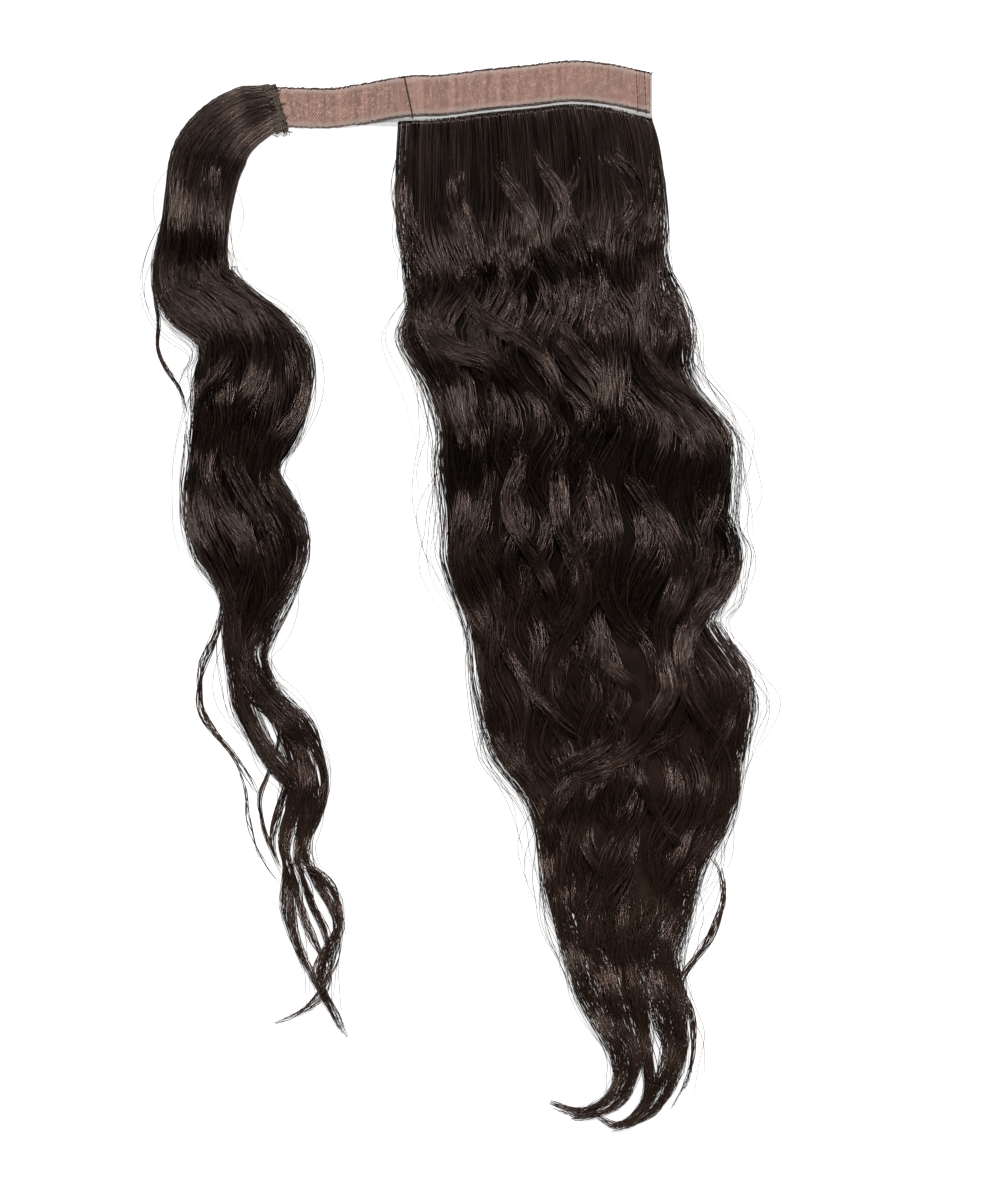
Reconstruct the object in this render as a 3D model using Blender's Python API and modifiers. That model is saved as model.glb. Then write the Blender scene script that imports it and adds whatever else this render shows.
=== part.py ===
"""Wrap-around ponytail hairpiece, lying flat.

A long wavy tail of hair is sewn under the right half of a hook-and-loop tape. A narrower
lock is sewn to the tape's left end, and is wound round the tape when the piece is worn.
Units are metres and +Z is up. The piece lies on the plane z = 0 with the tape at +Y.
"""

import math
from collections import namedtuple

import bmesh
import bpy
from mathutils import Vector

# Driving sizes of the tape
MM = 0.001
TAPE_WIDTH = 20.0 * MM
TAPE_THICKNESS = 1.6 * MM
TAPE_LENGTH = 188.0 * MM
TAPE_HIDDEN_END = 3.7 * MM
TAPE_RAMP_LENGTH = 10.0 * MM
TAPE_LEAN_LENGTH = 20.0 * MM

# Driving sizes of the white strip under the tape
BACKING_LENGTH = 147.5 * MM
BACKING_THICKNESS = 1.2 * MM
BACKING_SHOWS = 2.6 * MM
BACKING_PAST_TAPE = 1.0 * MM
BACKING_RAMP_LENGTH = 20.0 * MM

# Driving sizes of the stitched band at the wrap lock's root
WEFT_LENGTH = 24.0 * MM
WEFT_WIDTH = 5.5 * MM
WEFT_THICKNESS = 2.6 * MM
WEFT_EDGE = 0.8 * MM
WEFT_EDGE_SEGMENTS = 3
WEFT_TILT = math.radians(16.0)

# Driving sizes of the tail
TAIL_LENGTH = 509.0 * MM
TAIL_WIDTH = 127.0 * MM
TAIL_THICKNESS = 18.5 * MM
HEAD_DEPTH = 12.0 * MM
HEAD_THICKNESS = 4.5 * MM

# Driving sizes of the wrap lock
WRAP_LENGTH = 465.0 * MM
WRAP_WIDTH = 62.0 * MM
WRAP_THICKNESS = 13.0 * MM

# Clearance between neighbours, and the place of the tape's left end
PIECE_GAP = 0.3 * MM
TAPE_START = Vector((-90.0 * MM, 245.5 * MM))

# How finely the strips and the hair are lofted
STRIP_STEPS = 36
CORE_RINGS = 30
LOCK_RINGS = 30
WRAP_RINGS = 36
FREE_LOCK_RINGS = 12
LOCK_SIDES = 8
WELD_DISTANCE = 0.002 * MM

# Share of a lock's height that lies below its widest line
BELLY = 0.3

# The tape's middle line: how far along the whole tape, and how far it has risen in tape widths
TapeRow = namedtuple("TapeRow", "along rise")
TAPE_LINE = (
    TapeRow(0.00, 0.00),
    TapeRow(0.15, -0.03),
    TapeRow(0.24, 0.08),
    TapeRow(0.36, 0.25),
    TapeRow(0.45, 0.28),
    TapeRow(0.56, 0.41),
    TapeRow(0.69, 0.53),
    TapeRow(0.79, 0.63),
    TapeRow(0.89, 0.55),
    TapeRow(1.00, 0.33),
)

# The tail's outline: down in tail lengths, left and right in half tail widths from its middle,
# height in tail thicknesses
TailRow = namedtuple("TailRow", "down left right height")
TAIL_ROWS = (
    TailRow(0.000, -1.00, 1.00, 0.24),
    TailRow(0.020, -1.01, 1.05, 0.43),
    TailRow(0.039, -1.02, 1.08, 0.59),
    TailRow(0.088, -1.02, 1.13, 0.81),
    TailRow(0.118, -0.98, 1.06, 0.86),
    TailRow(0.159, -0.87, 1.04, 0.70),
    TailRow(0.196, -0.99, 1.24, 0.86),
    TailRow(0.216, -1.02, 1.30, 0.95),
    TailRow(0.260, -0.85, 1.35, 0.84),
    TailRow(0.309, -0.73, 1.65, 0.97),
    TailRow(0.334, -0.72, 1.70, 1.00),
    TailRow(0.383, -0.70, 1.69, 0.89),
    TailRow(0.408, -0.69, 1.66, 0.92),
    TailRow(0.432, -0.69, 1.70, 0.97),
    TailRow(0.481, -0.55, 1.59, 0.89),
    TailRow(0.501, -0.50, 1.49, 0.84),
    TailRow(0.550, -0.45, 1.72, 0.92),
    TailRow(0.580, -0.39, 1.83, 0.92),
    TailRow(0.629, -0.29, 1.74, 0.81),
    TailRow(0.683, 0.02, 1.64, 0.78),
    TailRow(0.737, 0.12, 1.47, 0.70),
    TailRow(0.776, 0.17, 1.35, 0.65),
    TailRow(0.815, 0.28, 1.27, 0.59),
    TailRow(0.855, 0.43, 1.21, 0.54),
    TailRow(0.884, 0.53, 1.22, 0.43),
    TailRow(0.909, 0.64, 1.27, 0.27),
)

# Locks side by side in the tail: place across at the root and at the foot, width in shares of an
# even split, height in shares of the tail's height there, sway in tail thicknesses, the sway's
# phase in turns, and where the lock ends
Lock = namedtuple("Lock", "root foot width height sway phase end")
TAIL_LOCKS = (
    Lock(0.00, 0.00, 1.5, 0.70, 0.00, 0.0, 0.905),
    Lock(0.09, 0.14, 1.6, 0.86, 0.10, 0.1, 0.890),
    Lock(0.20, 0.08, 1.5, 0.94, 0.16, 0.7, 0.860),
    Lock(0.31, 0.34, 1.8, 0.90, 0.18, 0.3, 0.900),
    Lock(0.42, 0.30, 1.6, 1.00, 0.20, 0.9, 0.880),
    Lock(0.52, 0.56, 1.9, 0.96, 0.16, 0.2, 0.905),
    Lock(0.62, 0.50, 1.6, 1.00, 0.22, 0.6, 0.870),
    Lock(0.72, 0.78, 1.8, 0.92, 0.16, 0.0, 0.900),
    Lock(0.82, 0.70, 1.6, 0.96, 0.18, 0.5, 0.885),
    Lock(0.92, 0.92, 1.6, 0.82, 0.10, 0.8, 0.905),
    Lock(1.00, 1.00, 1.5, 0.66, 0.00, 0.0, 0.895),
)

# Locks that leave the tail's side, and its tips: down in tail lengths, side in half tail widths
# from the tail's middle, width in tail widths, height in tail thicknesses
FreeRow = namedtuple("FreeRow", "down side width height")
TAIL_FREE_LOCKS = (
    (FreeRow(0.215, -0.92, 0.030, 0.40), FreeRow(0.250, -0.96, 0.040, 0.38),
     FreeRow(0.280, -0.88, 0.040, 0.36), FreeRow(0.309, -0.79, 0.035, 0.34),
     FreeRow(0.345, -0.66, 0.030, 0.32)),
    (FreeRow(0.435, -0.60, 0.030, 0.40), FreeRow(0.467, -0.65, 0.026, 0.36),
     FreeRow(0.491, -0.60, 0.024, 0.34), FreeRow(0.516, -0.52, 0.024, 0.34),
     FreeRow(0.545, -0.36, 0.028, 0.36)),
    (FreeRow(0.385, 1.52, 0.026, 0.40), FreeRow(0.417, 1.74, 0.022, 0.32),
     FreeRow(0.442, 1.80, 0.022, 0.30), FreeRow(0.472, 1.74, 0.022, 0.32),
     FreeRow(0.510, 1.42, 0.026, 0.40)),
    (FreeRow(0.700, 1.32, 0.050, 0.50), FreeRow(0.745, 1.49, 0.045, 0.44),
     FreeRow(0.771, 1.52, 0.045, 0.42), FreeRow(0.796, 1.48, 0.045, 0.42),
     FreeRow(0.820, 1.38, 0.048, 0.44), FreeRow(0.869, 1.12, 0.050, 0.44)),
    (FreeRow(0.825, 0.51, 0.180, 0.50), FreeRow(0.874, 0.68, 0.160, 0.44),
     FreeRow(0.918, 0.81, 0.130, 0.38), FreeRow(0.948, 0.80, 0.100, 0.32),
     FreeRow(0.971, 0.67, 0.067, 0.24), FreeRow(0.982, 0.45, 0.035, 0.16),
     FreeRow(0.978, 0.22, 0.010, 0.06)),
    (FreeRow(0.825, 0.83, 0.180, 0.54), FreeRow(0.874, 0.89, 0.160, 0.50),
     FreeRow(0.918, 0.98, 0.118, 0.44), FreeRow(0.953, 1.02, 0.094, 0.36),
     FreeRow(0.977, 0.94, 0.067, 0.26), FreeRow(0.992, 0.80, 0.039, 0.18),
     FreeRow(0.998, 0.61, 0.010, 0.06)),
    (FreeRow(0.825, 1.04, 0.170, 0.48), FreeRow(0.874, 1.13, 0.142, 0.44),
     FreeRow(0.909, 1.20, 0.115, 0.40), FreeRow(0.938, 1.25, 0.094, 0.34),
     FreeRow(0.965, 1.19, 0.071, 0.26), FreeRow(0.986, 1.03, 0.039, 0.18),
     FreeRow(1.000, 0.83, 0.010, 0.06)),
)

# The wrap lock's middle line: down in wrap lengths and side in wrap widths from the middle of the
# weft's outer edge, width in wrap widths, height in wrap thicknesses
WrapRow = namedtuple("WrapRow", "down side width height")
WRAP_ROWS = (
    WrapRow(0.000, 0.00, 0.38, 0.42),
    WrapRow(0.006, -0.14, 0.48, 0.66),
    WrapRow(0.026, -0.35, 0.56, 0.82),
    WrapRow(0.054, -0.50, 0.60, 0.90),
    WrapRow(0.089, -0.56, 0.57, 0.94),
    WrapRow(0.125, -0.60, 0.57, 0.90),
    WrapRow(0.166, -0.63, 0.64, 0.86),
    WrapRow(0.198, -0.59, 0.67, 0.88),
    WrapRow(0.226, -0.36, 0.66, 0.94),
    WrapRow(0.252, -0.22, 0.90, 1.00),
    WrapRow(0.294, -0.14, 1.02, 1.00),
    WrapRow(0.335, -0.19, 0.94, 0.94),
    WrapRow(0.370, -0.27, 0.80, 0.88),
    WrapRow(0.402, -0.29, 0.81, 0.90),
    WrapRow(0.435, -0.24, 0.93, 0.94),
    WrapRow(0.475, -0.15, 0.97, 0.94),
    WrapRow(0.517, -0.10, 0.69, 0.86),
    WrapRow(0.550, -0.14, 0.50, 0.80),
    WrapRow(0.585, -0.20, 0.34, 0.70),
    WrapRow(0.610, -0.17, 0.34, 0.66),
    WrapRow(0.635, -0.10, 0.40, 0.64),
    WrapRow(0.660, 0.03, 0.46, 0.62),
    WrapRow(0.690, 0.16, 0.46, 0.56),
    WrapRow(0.722, 0.27, 0.38, 0.50),
    WrapRow(0.755, 0.27, 0.32, 0.46),
    WrapRow(0.790, 0.20, 0.26, 0.42),
    WrapRow(0.822, 0.25, 0.24, 0.40),
    WrapRow(0.852, 0.34, 0.30, 0.34),
    WrapRow(0.895, 0.40, 0.28, 0.28),
    WrapRow(0.930, 0.42, 0.18, 0.22),
)

# Locks side by side in the wrap lock: the same columns as the tail's
WRAP_LOCKS = (
    Lock(0.00, 0.10, 1.5, 0.74, 0.00, 0.0, 0.93),
    Lock(0.26, 0.62, 1.5, 0.94, 0.16, 0.3, 0.90),
    Lock(0.50, 0.28, 1.6, 1.00, 0.22, 0.8, 0.92),
    Lock(0.74, 0.84, 1.5, 0.92, 0.16, 0.1, 0.89),
    Lock(1.00, 0.94, 1.5, 0.72, 0.00, 0.0, 0.93),
)

# Locks that leave the wrap lock's side, and its tips: down and side as in its middle line, width in
# wrap widths, height in wrap thicknesses
WRAP_FREE_LOCKS = (
    (FreeRow(0.180, -0.86, 0.06, 0.30), FreeRow(0.229, -0.91, 0.05, 0.26),
     FreeRow(0.260, -0.90, 0.05, 0.26), FreeRow(0.290, -0.80, 0.05, 0.28),
     FreeRow(0.335, -0.58, 0.06, 0.30)),
    (FreeRow(0.520, -0.30, 0.08, 0.34), FreeRow(0.560, -0.44, 0.06, 0.30),
     FreeRow(0.597, -0.54, 0.06, 0.28), FreeRow(0.630, -0.57, 0.05, 0.28),
     FreeRow(0.675, -0.38, 0.05, 0.28), FreeRow(0.712, -0.16, 0.05, 0.30),
     FreeRow(0.760, 0.14, 0.05, 0.32)),
    (FreeRow(0.665, 0.08, 0.10, 0.36), FreeRow(0.707, 0.01, 0.07, 0.32),
     FreeRow(0.742, -0.07, 0.06, 0.30), FreeRow(0.790, 0.02, 0.06, 0.30),
     FreeRow(0.834, 0.12, 0.06, 0.32), FreeRow(0.880, 0.19, 0.06, 0.30),
     FreeRow(0.930, 0.34, 0.05, 0.24)),
    (FreeRow(0.890, 0.36, 0.12, 0.30), FreeRow(0.935, 0.43, 0.08, 0.24),
     FreeRow(0.965, 0.38, 0.05, 0.18), FreeRow(0.982, 0.24, 0.03, 0.12),
     FreeRow(0.986, 0.04, 0.012, 0.06)),
    (FreeRow(0.872, 0.42, 0.13, 0.33), FreeRow(0.925, 0.46, 0.09, 0.24),
     FreeRow(0.965, 0.57, 0.05, 0.14), FreeRow(1.000, 0.63, 0.012, 0.06)),
)

# Wave length of the sway of single locks, and how thick a lock's end is at least
SWAY_LENGTH = 62.0 * MM
LOCK_END_WIDTH = 1.2 * MM
LOCK_END_HEIGHT = 1.0 * MM

# The sewn core under the locks: how far it stays inside the outline and where its shoulders lie,
# in shares of its width, its height and its edges' height in shares of the hair's height and of
# its own, how high the locks' undersides lie, and how much each free lock lies above the last
CORE_INSET = 0.10
CORE_HEIGHT = 0.56
CORE_SHOULDER = 0.12
CORE_EDGE_HEIGHT = 0.45
LOCK_LIFT = 0.5 * MM
FREE_LOCK_STAGGER = 0.15 * MM

# Shares of a hair piece's length over which a lock's sway grows and its end thins, and the share
# over which the core draws in from the head's full width
SWAY_GROWTH = 0.25
LOCK_TAPER = 0.09
CORE_DRAW_IN = 0.04


# Collections and materials

def clear_scene():
    for old in list(bpy.data.objects):
        bpy.data.objects.remove(old, do_unlink=True)


def new_collection(name):
    collection = bpy.data.collections.new(name)
    bpy.context.scene.collection.children.link(collection)
    return collection


def new_material(name, colour, roughness, metallic=0.0):
    material = bpy.data.materials.new(name)
    material.use_nodes = True
    shader = material.node_tree.nodes["Principled BSDF"]
    shader.inputs["Base Color"].default_value = (*colour, 1.0)
    shader.inputs["Roughness"].default_value = roughness
    shader.inputs["Metallic"].default_value = metallic
    material.diffuse_color = (*colour, 1.0)
    return material


def new_object(name, mesh, material, collection):
    item = bpy.data.objects.new(name, mesh)
    item.data.materials.append(material)
    collection.objects.link(item)
    return item


# Curves through the tables' rows

def slope_at(keys, values, i):
    """Slope of the curve at row i: the mean slope of its two neighbours."""
    before = max(i - 1, 0)
    after = min(i + 1, len(keys) - 1)
    return (values[after] - values[before]) / (keys[after] - keys[before])


def curve_value(keys, values, at):
    """Reads a smooth curve through (key, value) pairs, which holds its end values beyond them."""
    if at <= keys[0]:
        return values[0]
    if at >= keys[-1]:
        return values[-1]
    i = max(n for n in range(len(keys) - 1) if keys[n] <= at)
    step = keys[i + 1] - keys[i]
    t = (at - keys[i]) / step
    leave = (1 + 2 * t) * (1 - t) ** 2 * values[i]
    leave += t * (1 - t) ** 2 * step * slope_at(keys, values, i)
    arrive = t * t * (3 - 2 * t) * values[i + 1]
    arrive -= t * t * (1 - t) * step * slope_at(keys, values, i + 1)
    return leave + arrive


def column_value(rows, key, column, at):
    """Reads one column of a table where another column has the value at."""
    return curve_value([getattr(row, key) for row in rows], [getattr(row, column) for row in rows], at)


def row_value(rows, share):
    """Reads all columns at a share of the way through a table whose rows count as evenly spaced."""
    keys = [n / (len(rows) - 1) for n in range(len(rows))]
    return type(rows[0])(*(curve_value(keys, values, share) for values in zip(*rows)))


def smooth_step(t):
    t = min(max(t, 0.0), 1.0)
    return t * t * (3 - 2 * t)


# The tape's own line, in plan and in height

def tape_middle(x):
    """Y of the tape's middle line at x."""
    along = (x - TAPE_START.x) / TAPE_LENGTH
    return TAPE_START.y + TAPE_WIDTH * column_value(TAPE_LINE, "along", "rise", along)


def tape_end_x():
    return TAPE_START.x + TAPE_LENGTH


def tail_middle_x():
    return tape_end_x() + BACKING_PAST_TAPE - TAIL_WIDTH / 2


def backing_start_x():
    return tape_end_x() + BACKING_PAST_TAPE - BACKING_LENGTH


def backing_lift(x):
    """Height of the backing strip's underside: on the surface, then up over the tail's head."""
    ramp_end = tail_middle_x() - TAIL_WIDTH / 2 - 2 * PIECE_GAP
    raised = HEAD_THICKNESS + PIECE_GAP
    return raised * smooth_step(1 + (x - ramp_end) / BACKING_RAMP_LENGTH)


def tape_lift(x):
    """Height of the tape's underside: on the surface, then up onto the backing strip."""
    ramp_end = backing_start_x() - 2 * PIECE_GAP
    on_backing = BACKING_THICKNESS + PIECE_GAP
    return backing_lift(x) + on_backing * smooth_step(1 + (x - ramp_end) / TAPE_RAMP_LENGTH)


def tape_lean(x):
    """Sideways lean of a line across the tape, which is cut along the wrap lock's band."""
    return math.tan(WEFT_TILT) * smooth_step(1 - (x - TAPE_START.x) / TAPE_LEAN_LENGTH)


# Lofts

def loft(name, rings):
    """One closed body through rings of points, with flat ends."""
    form = bmesh.new()
    loops = [[form.verts.new(point) for point in ring] for ring in rings]
    sides = len(loops[0])
    for low, high in zip(loops, loops[1:]):
        for n in range(sides):
            after = (n + 1) % sides
            form.faces.new((low[n], low[after], high[after], high[n]))
    form.faces.new(loops[0])
    form.faces.new(loops[-1])
    bmesh.ops.recalc_face_normals(form, faces=form.faces)
    mesh = bpy.data.meshes.new(name)
    form.to_mesh(mesh)
    form.free()
    return mesh


def strip_mesh(name, start_x, end_x, near_edge, lift, thickness):
    """A flat strip along the tape's line: its far edge is the tape's, its left end may lean."""
    rings = []
    for n in range(STRIP_STEPS + 1):
        x = start_x + (end_x - start_x) * n / STRIP_STEPS
        low = lift(x)
        high = low + thickness
        far_y = tape_middle(x) + TAPE_WIDTH / 2
        near_y = tape_middle(x) - near_edge
        lean = tape_lean(x)
        far_x = x - lean * TAPE_WIDTH / 2
        near_x = x + lean * near_edge
        rings.append(((far_x, far_y, low), (near_x, near_y, low),
                      (near_x, near_y, high), (far_x, far_y, high)))
    return loft(name, rings)


def lock_ring(centre, across, half_width, low, height):
    """A lock's section: rounded above, flatter below its widest line."""
    ring = []
    for n in range(LOCK_SIDES):
        turn = 2 * math.pi * (n + 0.5) / LOCK_SIDES
        side = half_width * math.cos(turn)
        rise = math.sin(turn)
        depth = (1 - BELLY) if rise > 0 else BELLY
        up = low + height * (BELLY + depth * rise)
        ring.append((centre.x + across.x * side, centre.y + across.y * side, up))
    return ring


def sweep(name, stations):
    """A lock through stations of (centre, half width, underside, height), square to its path."""
    rings = []
    last = len(stations) - 1
    for n, (centre, half_width, low, height) in enumerate(stations):
        ahead = stations[min(n + 1, last)][0] - stations[max(n - 1, 0)][0]
        across = Vector((ahead.y, -ahead.x)).normalized()
        rings.append(lock_ring(centre, across, half_width, low, height))
    return loft(name, rings)


def core_ring(left, right, height):
    """The core's section between two points: flat underneath, bevelled above."""
    shoulder = left.lerp(right, CORE_SHOULDER)
    far_shoulder = right.lerp(left, CORE_SHOULDER)
    middle = left.lerp(right, 0.5)
    edge_height = CORE_EDGE_HEIGHT * height
    return (
        (left.x, left.y, 0.0),
        (middle.x, middle.y, 0.0),
        (right.x, right.y, 0.0),
        (right.x, right.y, edge_height),
        (far_shoulder.x, far_shoulder.y, height),
        (middle.x, middle.y, height),
        (shoulder.x, shoulder.y, height),
        (left.x, left.y, edge_height),
    )


def fuse(name, core_mesh, lock_meshes, material, parts, cutters):
    """Unites a core with its locks in one closed body."""
    core = bpy.data.objects.new(name + "_core", core_mesh)
    cutters.objects.link(core)
    locks = bpy.data.collections.new(name + "_locks")
    cutters.children.link(locks)
    for mesh in lock_meshes:
        lock = bpy.data.objects.new(mesh.name, mesh)
        locks.objects.link(lock)
    union = core.modifiers.new("union", "BOOLEAN")
    union.operation = "UNION"
    union.solver = "EXACT"
    union.operand_type = "COLLECTION"
    union.collection = locks
    bpy.context.view_layer.update()
    evaluated = core.evaluated_get(bpy.context.evaluated_depsgraph_get())
    mesh = bpy.data.meshes.new_from_object(evaluated)
    core.modifiers.remove(union)
    for guide in [core, *locks.objects]:
        guide.hide_render = True
        guide.display_type = "WIRE"
    mesh.name = name
    tidy_body(mesh)
    mesh.materials.clear()
    return new_object(name, mesh, material, parts)


def tidy_body(mesh):
    """Welds the union's hair-thin edges and keeps its outer skin."""
    form = bmesh.new()
    form.from_mesh(mesh)
    bmesh.ops.remove_doubles(form, verts=form.verts, dist=WELD_DISTANCE)
    bmesh.ops.triangulate(form, faces=form.faces)
    bmesh.ops.dissolve_degenerate(form, dist=WELD_DISTANCE, edges=form.edges)
    bmesh.ops.triangulate(form, faces=form.faces)
    outer = max(connected_skins(form), key=len)
    inner = [vert for vert in form.verts if vert not in outer]
    bmesh.ops.delete(form, geom=inner, context="VERTS")
    form.to_mesh(mesh)
    form.free()


def connected_skins(form):
    """The sets of points that edges join."""
    skins = []
    waiting = set(form.verts)
    while waiting:
        start = waiting.pop()
        skin = {start}
        to_visit = [start]
        while to_visit:
            vert = to_visit.pop()
            for edge in vert.link_edges:
                other = edge.other_vert(vert)
                if other in waiting:
                    waiting.discard(other)
                    skin.add(other)
                    to_visit.append(other)
        skins.append(skin)
    return skins


# The tail

def tail_edges(down):
    """X of the tail's left and right edges at a share of its length."""
    half = TAIL_WIDTH / 2
    left = tail_middle_x() + half * column_value(TAIL_ROWS, "down", "left", down)
    right = tail_middle_x() + half * column_value(TAIL_ROWS, "down", "right", down)
    return left, right


def tail_root_y(place):
    """Y of the hair's upper edge, along the backing strip's lower edge, at a place across."""
    x = tail_middle_x() + TAIL_WIDTH * (place - 0.5)
    return tape_middle(x) - TAPE_WIDTH / 2 - BACKING_SHOWS


def tail_y(place, down):
    """Y at a place across and a share down, level at the foot and along the tape at the root."""
    foot = TAPE_START.y - TAIL_LENGTH
    root = tail_root_y(place)
    return root + (foot - root) * down


def tail_height(down):
    return TAIL_THICKNESS * column_value(TAIL_ROWS, "down", "height", down)


def tail_core():
    """The sewn head and the body of hair under the locks."""
    rings = []
    end = TAIL_ROWS[-1].down
    for depth in (HEAD_DEPTH, HEAD_DEPTH / 2):
        left, right = tail_edges(0.0)
        left_point = Vector((left, tail_root_y(0.0) + depth))
        right_point = Vector((right, tail_root_y(1.0) + depth))
        rings.append(core_ring(left_point, right_point, HEAD_THICKNESS))
    for n in range(1, CORE_RINGS + 1):
        down = end * n / CORE_RINGS
        left, right = tail_edges(down)
        inset = CORE_INSET * TAIL_WIDTH / 2 * smooth_step(down / CORE_DRAW_IN)
        height = CORE_HEIGHT * tail_height(down)
        left_point = Vector((left + inset, tail_y(0.0, down)))
        right_point = Vector((right - inset, tail_y(1.0, down)))
        rings.append(core_ring(left_point, right_point, height))
    return loft("tail_core", rings)


def tail_lock(number, lock):
    """A lock of the tail from its head to its own end."""
    stations = []
    for n in range(LOCK_RINGS + 1):
        down = lock.end * n / LOCK_RINGS
        left, right = tail_edges(down)
        near_end = smooth_step((lock.end - down) / LOCK_TAPER)
        half_width = lock.width * (right - left) / (2 * len(TAIL_LOCKS))
        half_width = LOCK_END_WIDTH / 2 + half_width * near_end
        place = lock.root + (lock.foot - lock.root) * smooth_step(down / lock.end)
        x = left + half_width + (right - left - 2 * half_width) * place
        turns = down * TAIL_LENGTH / SWAY_LENGTH + lock.phase
        x += lock.sway * TAIL_THICKNESS * math.sin(2 * math.pi * turns) * smooth_step(down / SWAY_GROWTH)
        height = LOCK_END_HEIGHT + lock.height * tail_height(down) * near_end
        height = min(height, tail_height(down)) - LOCK_LIFT
        stations.append((Vector((x, tail_y(place, down))), half_width, LOCK_LIFT, height))
    return sweep("tail_lock_%02d" % number, stations)


def free_lock(name, number, rows, top_y, length, middle_x, half, width, thickness):
    """A lock that leaves the body of hair, through its own few rows, a little above the last one."""
    stations = []
    lift = LOCK_LIFT + (number + 1) * FREE_LOCK_STAGGER
    for n in range(FREE_LOCK_RINGS + 1):
        row = row_value(rows, n / FREE_LOCK_RINGS)
        centre = Vector((middle_x + half * row.side, top_y - length * row.down))
        stations.append((centre, width * row.width / 2, lift, thickness * row.height))
    return sweep(name, stations)


def build_tail(material, parts, cutters):
    locks = [tail_lock(n, lock) for n, lock in enumerate(TAIL_LOCKS)]
    for n, rows in enumerate(TAIL_FREE_LOCKS):
        name = "tail_free_lock_%02d" % n
        locks.append(free_lock(name, n, rows, tail_root_y(0.5), TAIL_LENGTH, tail_middle_x(),
                               TAIL_WIDTH / 2, TAIL_WIDTH, TAIL_THICKNESS))
    return fuse("tail_hair", tail_core(), locks, material, parts, cutters)


# The wrap lock

def weft_axes():
    """Unit directions along the stitched band and across it, away from the wrap lock."""
    along = Vector((math.sin(WEFT_TILT), -math.cos(WEFT_TILT)))
    across = Vector((math.cos(WEFT_TILT), math.sin(WEFT_TILT)))
    return along, across


def weft_middle():
    """Middle of the stitched band, which lies over the tape's hidden left end."""
    return TAPE_START + weft_axes()[1] * (TAPE_HIDDEN_END - WEFT_WIDTH / 2)


def wrap_root():
    """Middle of the band's outer edge, a gap away, where the wrap lock starts."""
    return weft_middle() - weft_axes()[1] * (WEFT_WIDTH / 2 + PIECE_GAP)


def wrap_middle(share):
    """The wrap lock's middle line at a share of its rows, and its rows' own values there."""
    row = row_value(WRAP_ROWS, min(max(share, 0.0), 1.0))
    root = wrap_root()
    return Vector((root.x + WRAP_WIDTH * row.side, root.y - WRAP_LENGTH * row.down)), row


def wrap_station(share):
    """The wrap lock's middle, crosswise direction, width and height at a share of its rows."""
    middle, row = wrap_middle(share)
    step = 0.5 / WRAP_RINGS
    ahead = wrap_middle(share + step)[0] - wrap_middle(share - step)[0]
    path_across = Vector((ahead.y, -ahead.x)).normalized()
    band_across = -weft_axes()[0]
    across = band_across.lerp(path_across, smooth_step(share / CORE_DRAW_IN)).normalized()
    return middle, across, WRAP_WIDTH * row.width, WRAP_THICKNESS * row.height


def wrap_core():
    rings = []
    for n in range(WRAP_RINGS + 1):
        share = n / WRAP_RINGS
        middle, across, width, height = wrap_station(share)
        half_width = width / 2 - CORE_INSET * width * smooth_step(share / CORE_DRAW_IN)
        left = middle - across * half_width
        right = middle + across * half_width
        rings.append(core_ring(left, right, CORE_HEIGHT * height))
    return loft("wrap_core", rings)


def wrap_lock(number, lock):
    """A lock of the wrap, side by side with its neighbours and ending where its row says."""
    rings = []
    end = lock.end / WRAP_ROWS[-1].down
    for n in range(WRAP_RINGS + 1):
        share = end * n / WRAP_RINGS
        middle, across, width, height = wrap_station(share)
        near_end = smooth_step((end - share) / LOCK_TAPER)
        half_width = LOCK_END_WIDTH / 2 + lock.width * width * near_end / (2 * len(WRAP_LOCKS))
        place = lock.root + (lock.foot - lock.root) * smooth_step(share / end)
        turns = share * WRAP_LENGTH / SWAY_LENGTH + lock.phase
        sway = lock.sway * WRAP_THICKNESS * math.sin(2 * math.pi * turns)
        sway *= smooth_step(share / SWAY_GROWTH)
        side = (place - 0.5) * (width - 2 * half_width) + sway
        full = LOCK_END_HEIGHT + lock.height * height * near_end
        centre = middle + across * side
        rings.append(lock_ring(centre, across, half_width, LOCK_LIFT, min(full, height) - LOCK_LIFT))
    return loft("wrap_lock_%02d" % number, rings)


def build_wrap(material, parts, cutters):
    locks = [wrap_lock(n, lock) for n, lock in enumerate(WRAP_LOCKS)]
    root = wrap_root()
    for n, rows in enumerate(WRAP_FREE_LOCKS):
        name = "wrap_free_lock_%02d" % n
        locks.append(free_lock(name, n, rows, root.y, WRAP_LENGTH, root.x,
                               WRAP_WIDTH, WRAP_WIDTH, WRAP_THICKNESS))
    return fuse("wrap_hair", wrap_core(), locks, material, parts, cutters)


# The tape, the strip under it and the stitched band

def build_tape(material, parts):
    mesh = strip_mesh("hook_tape", TAPE_START.x, tape_end_x(), TAPE_WIDTH / 2, tape_lift,
                      TAPE_THICKNESS)
    return new_object("hook_tape", mesh, material, parts)


def build_backing(material, parts):
    start_x = backing_start_x()
    mesh = strip_mesh("backing_strip", start_x, start_x + BACKING_LENGTH,
                      TAPE_WIDTH / 2 + BACKING_SHOWS, backing_lift, BACKING_THICKNESS)
    return new_object("backing_strip", mesh, material, parts)


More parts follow.
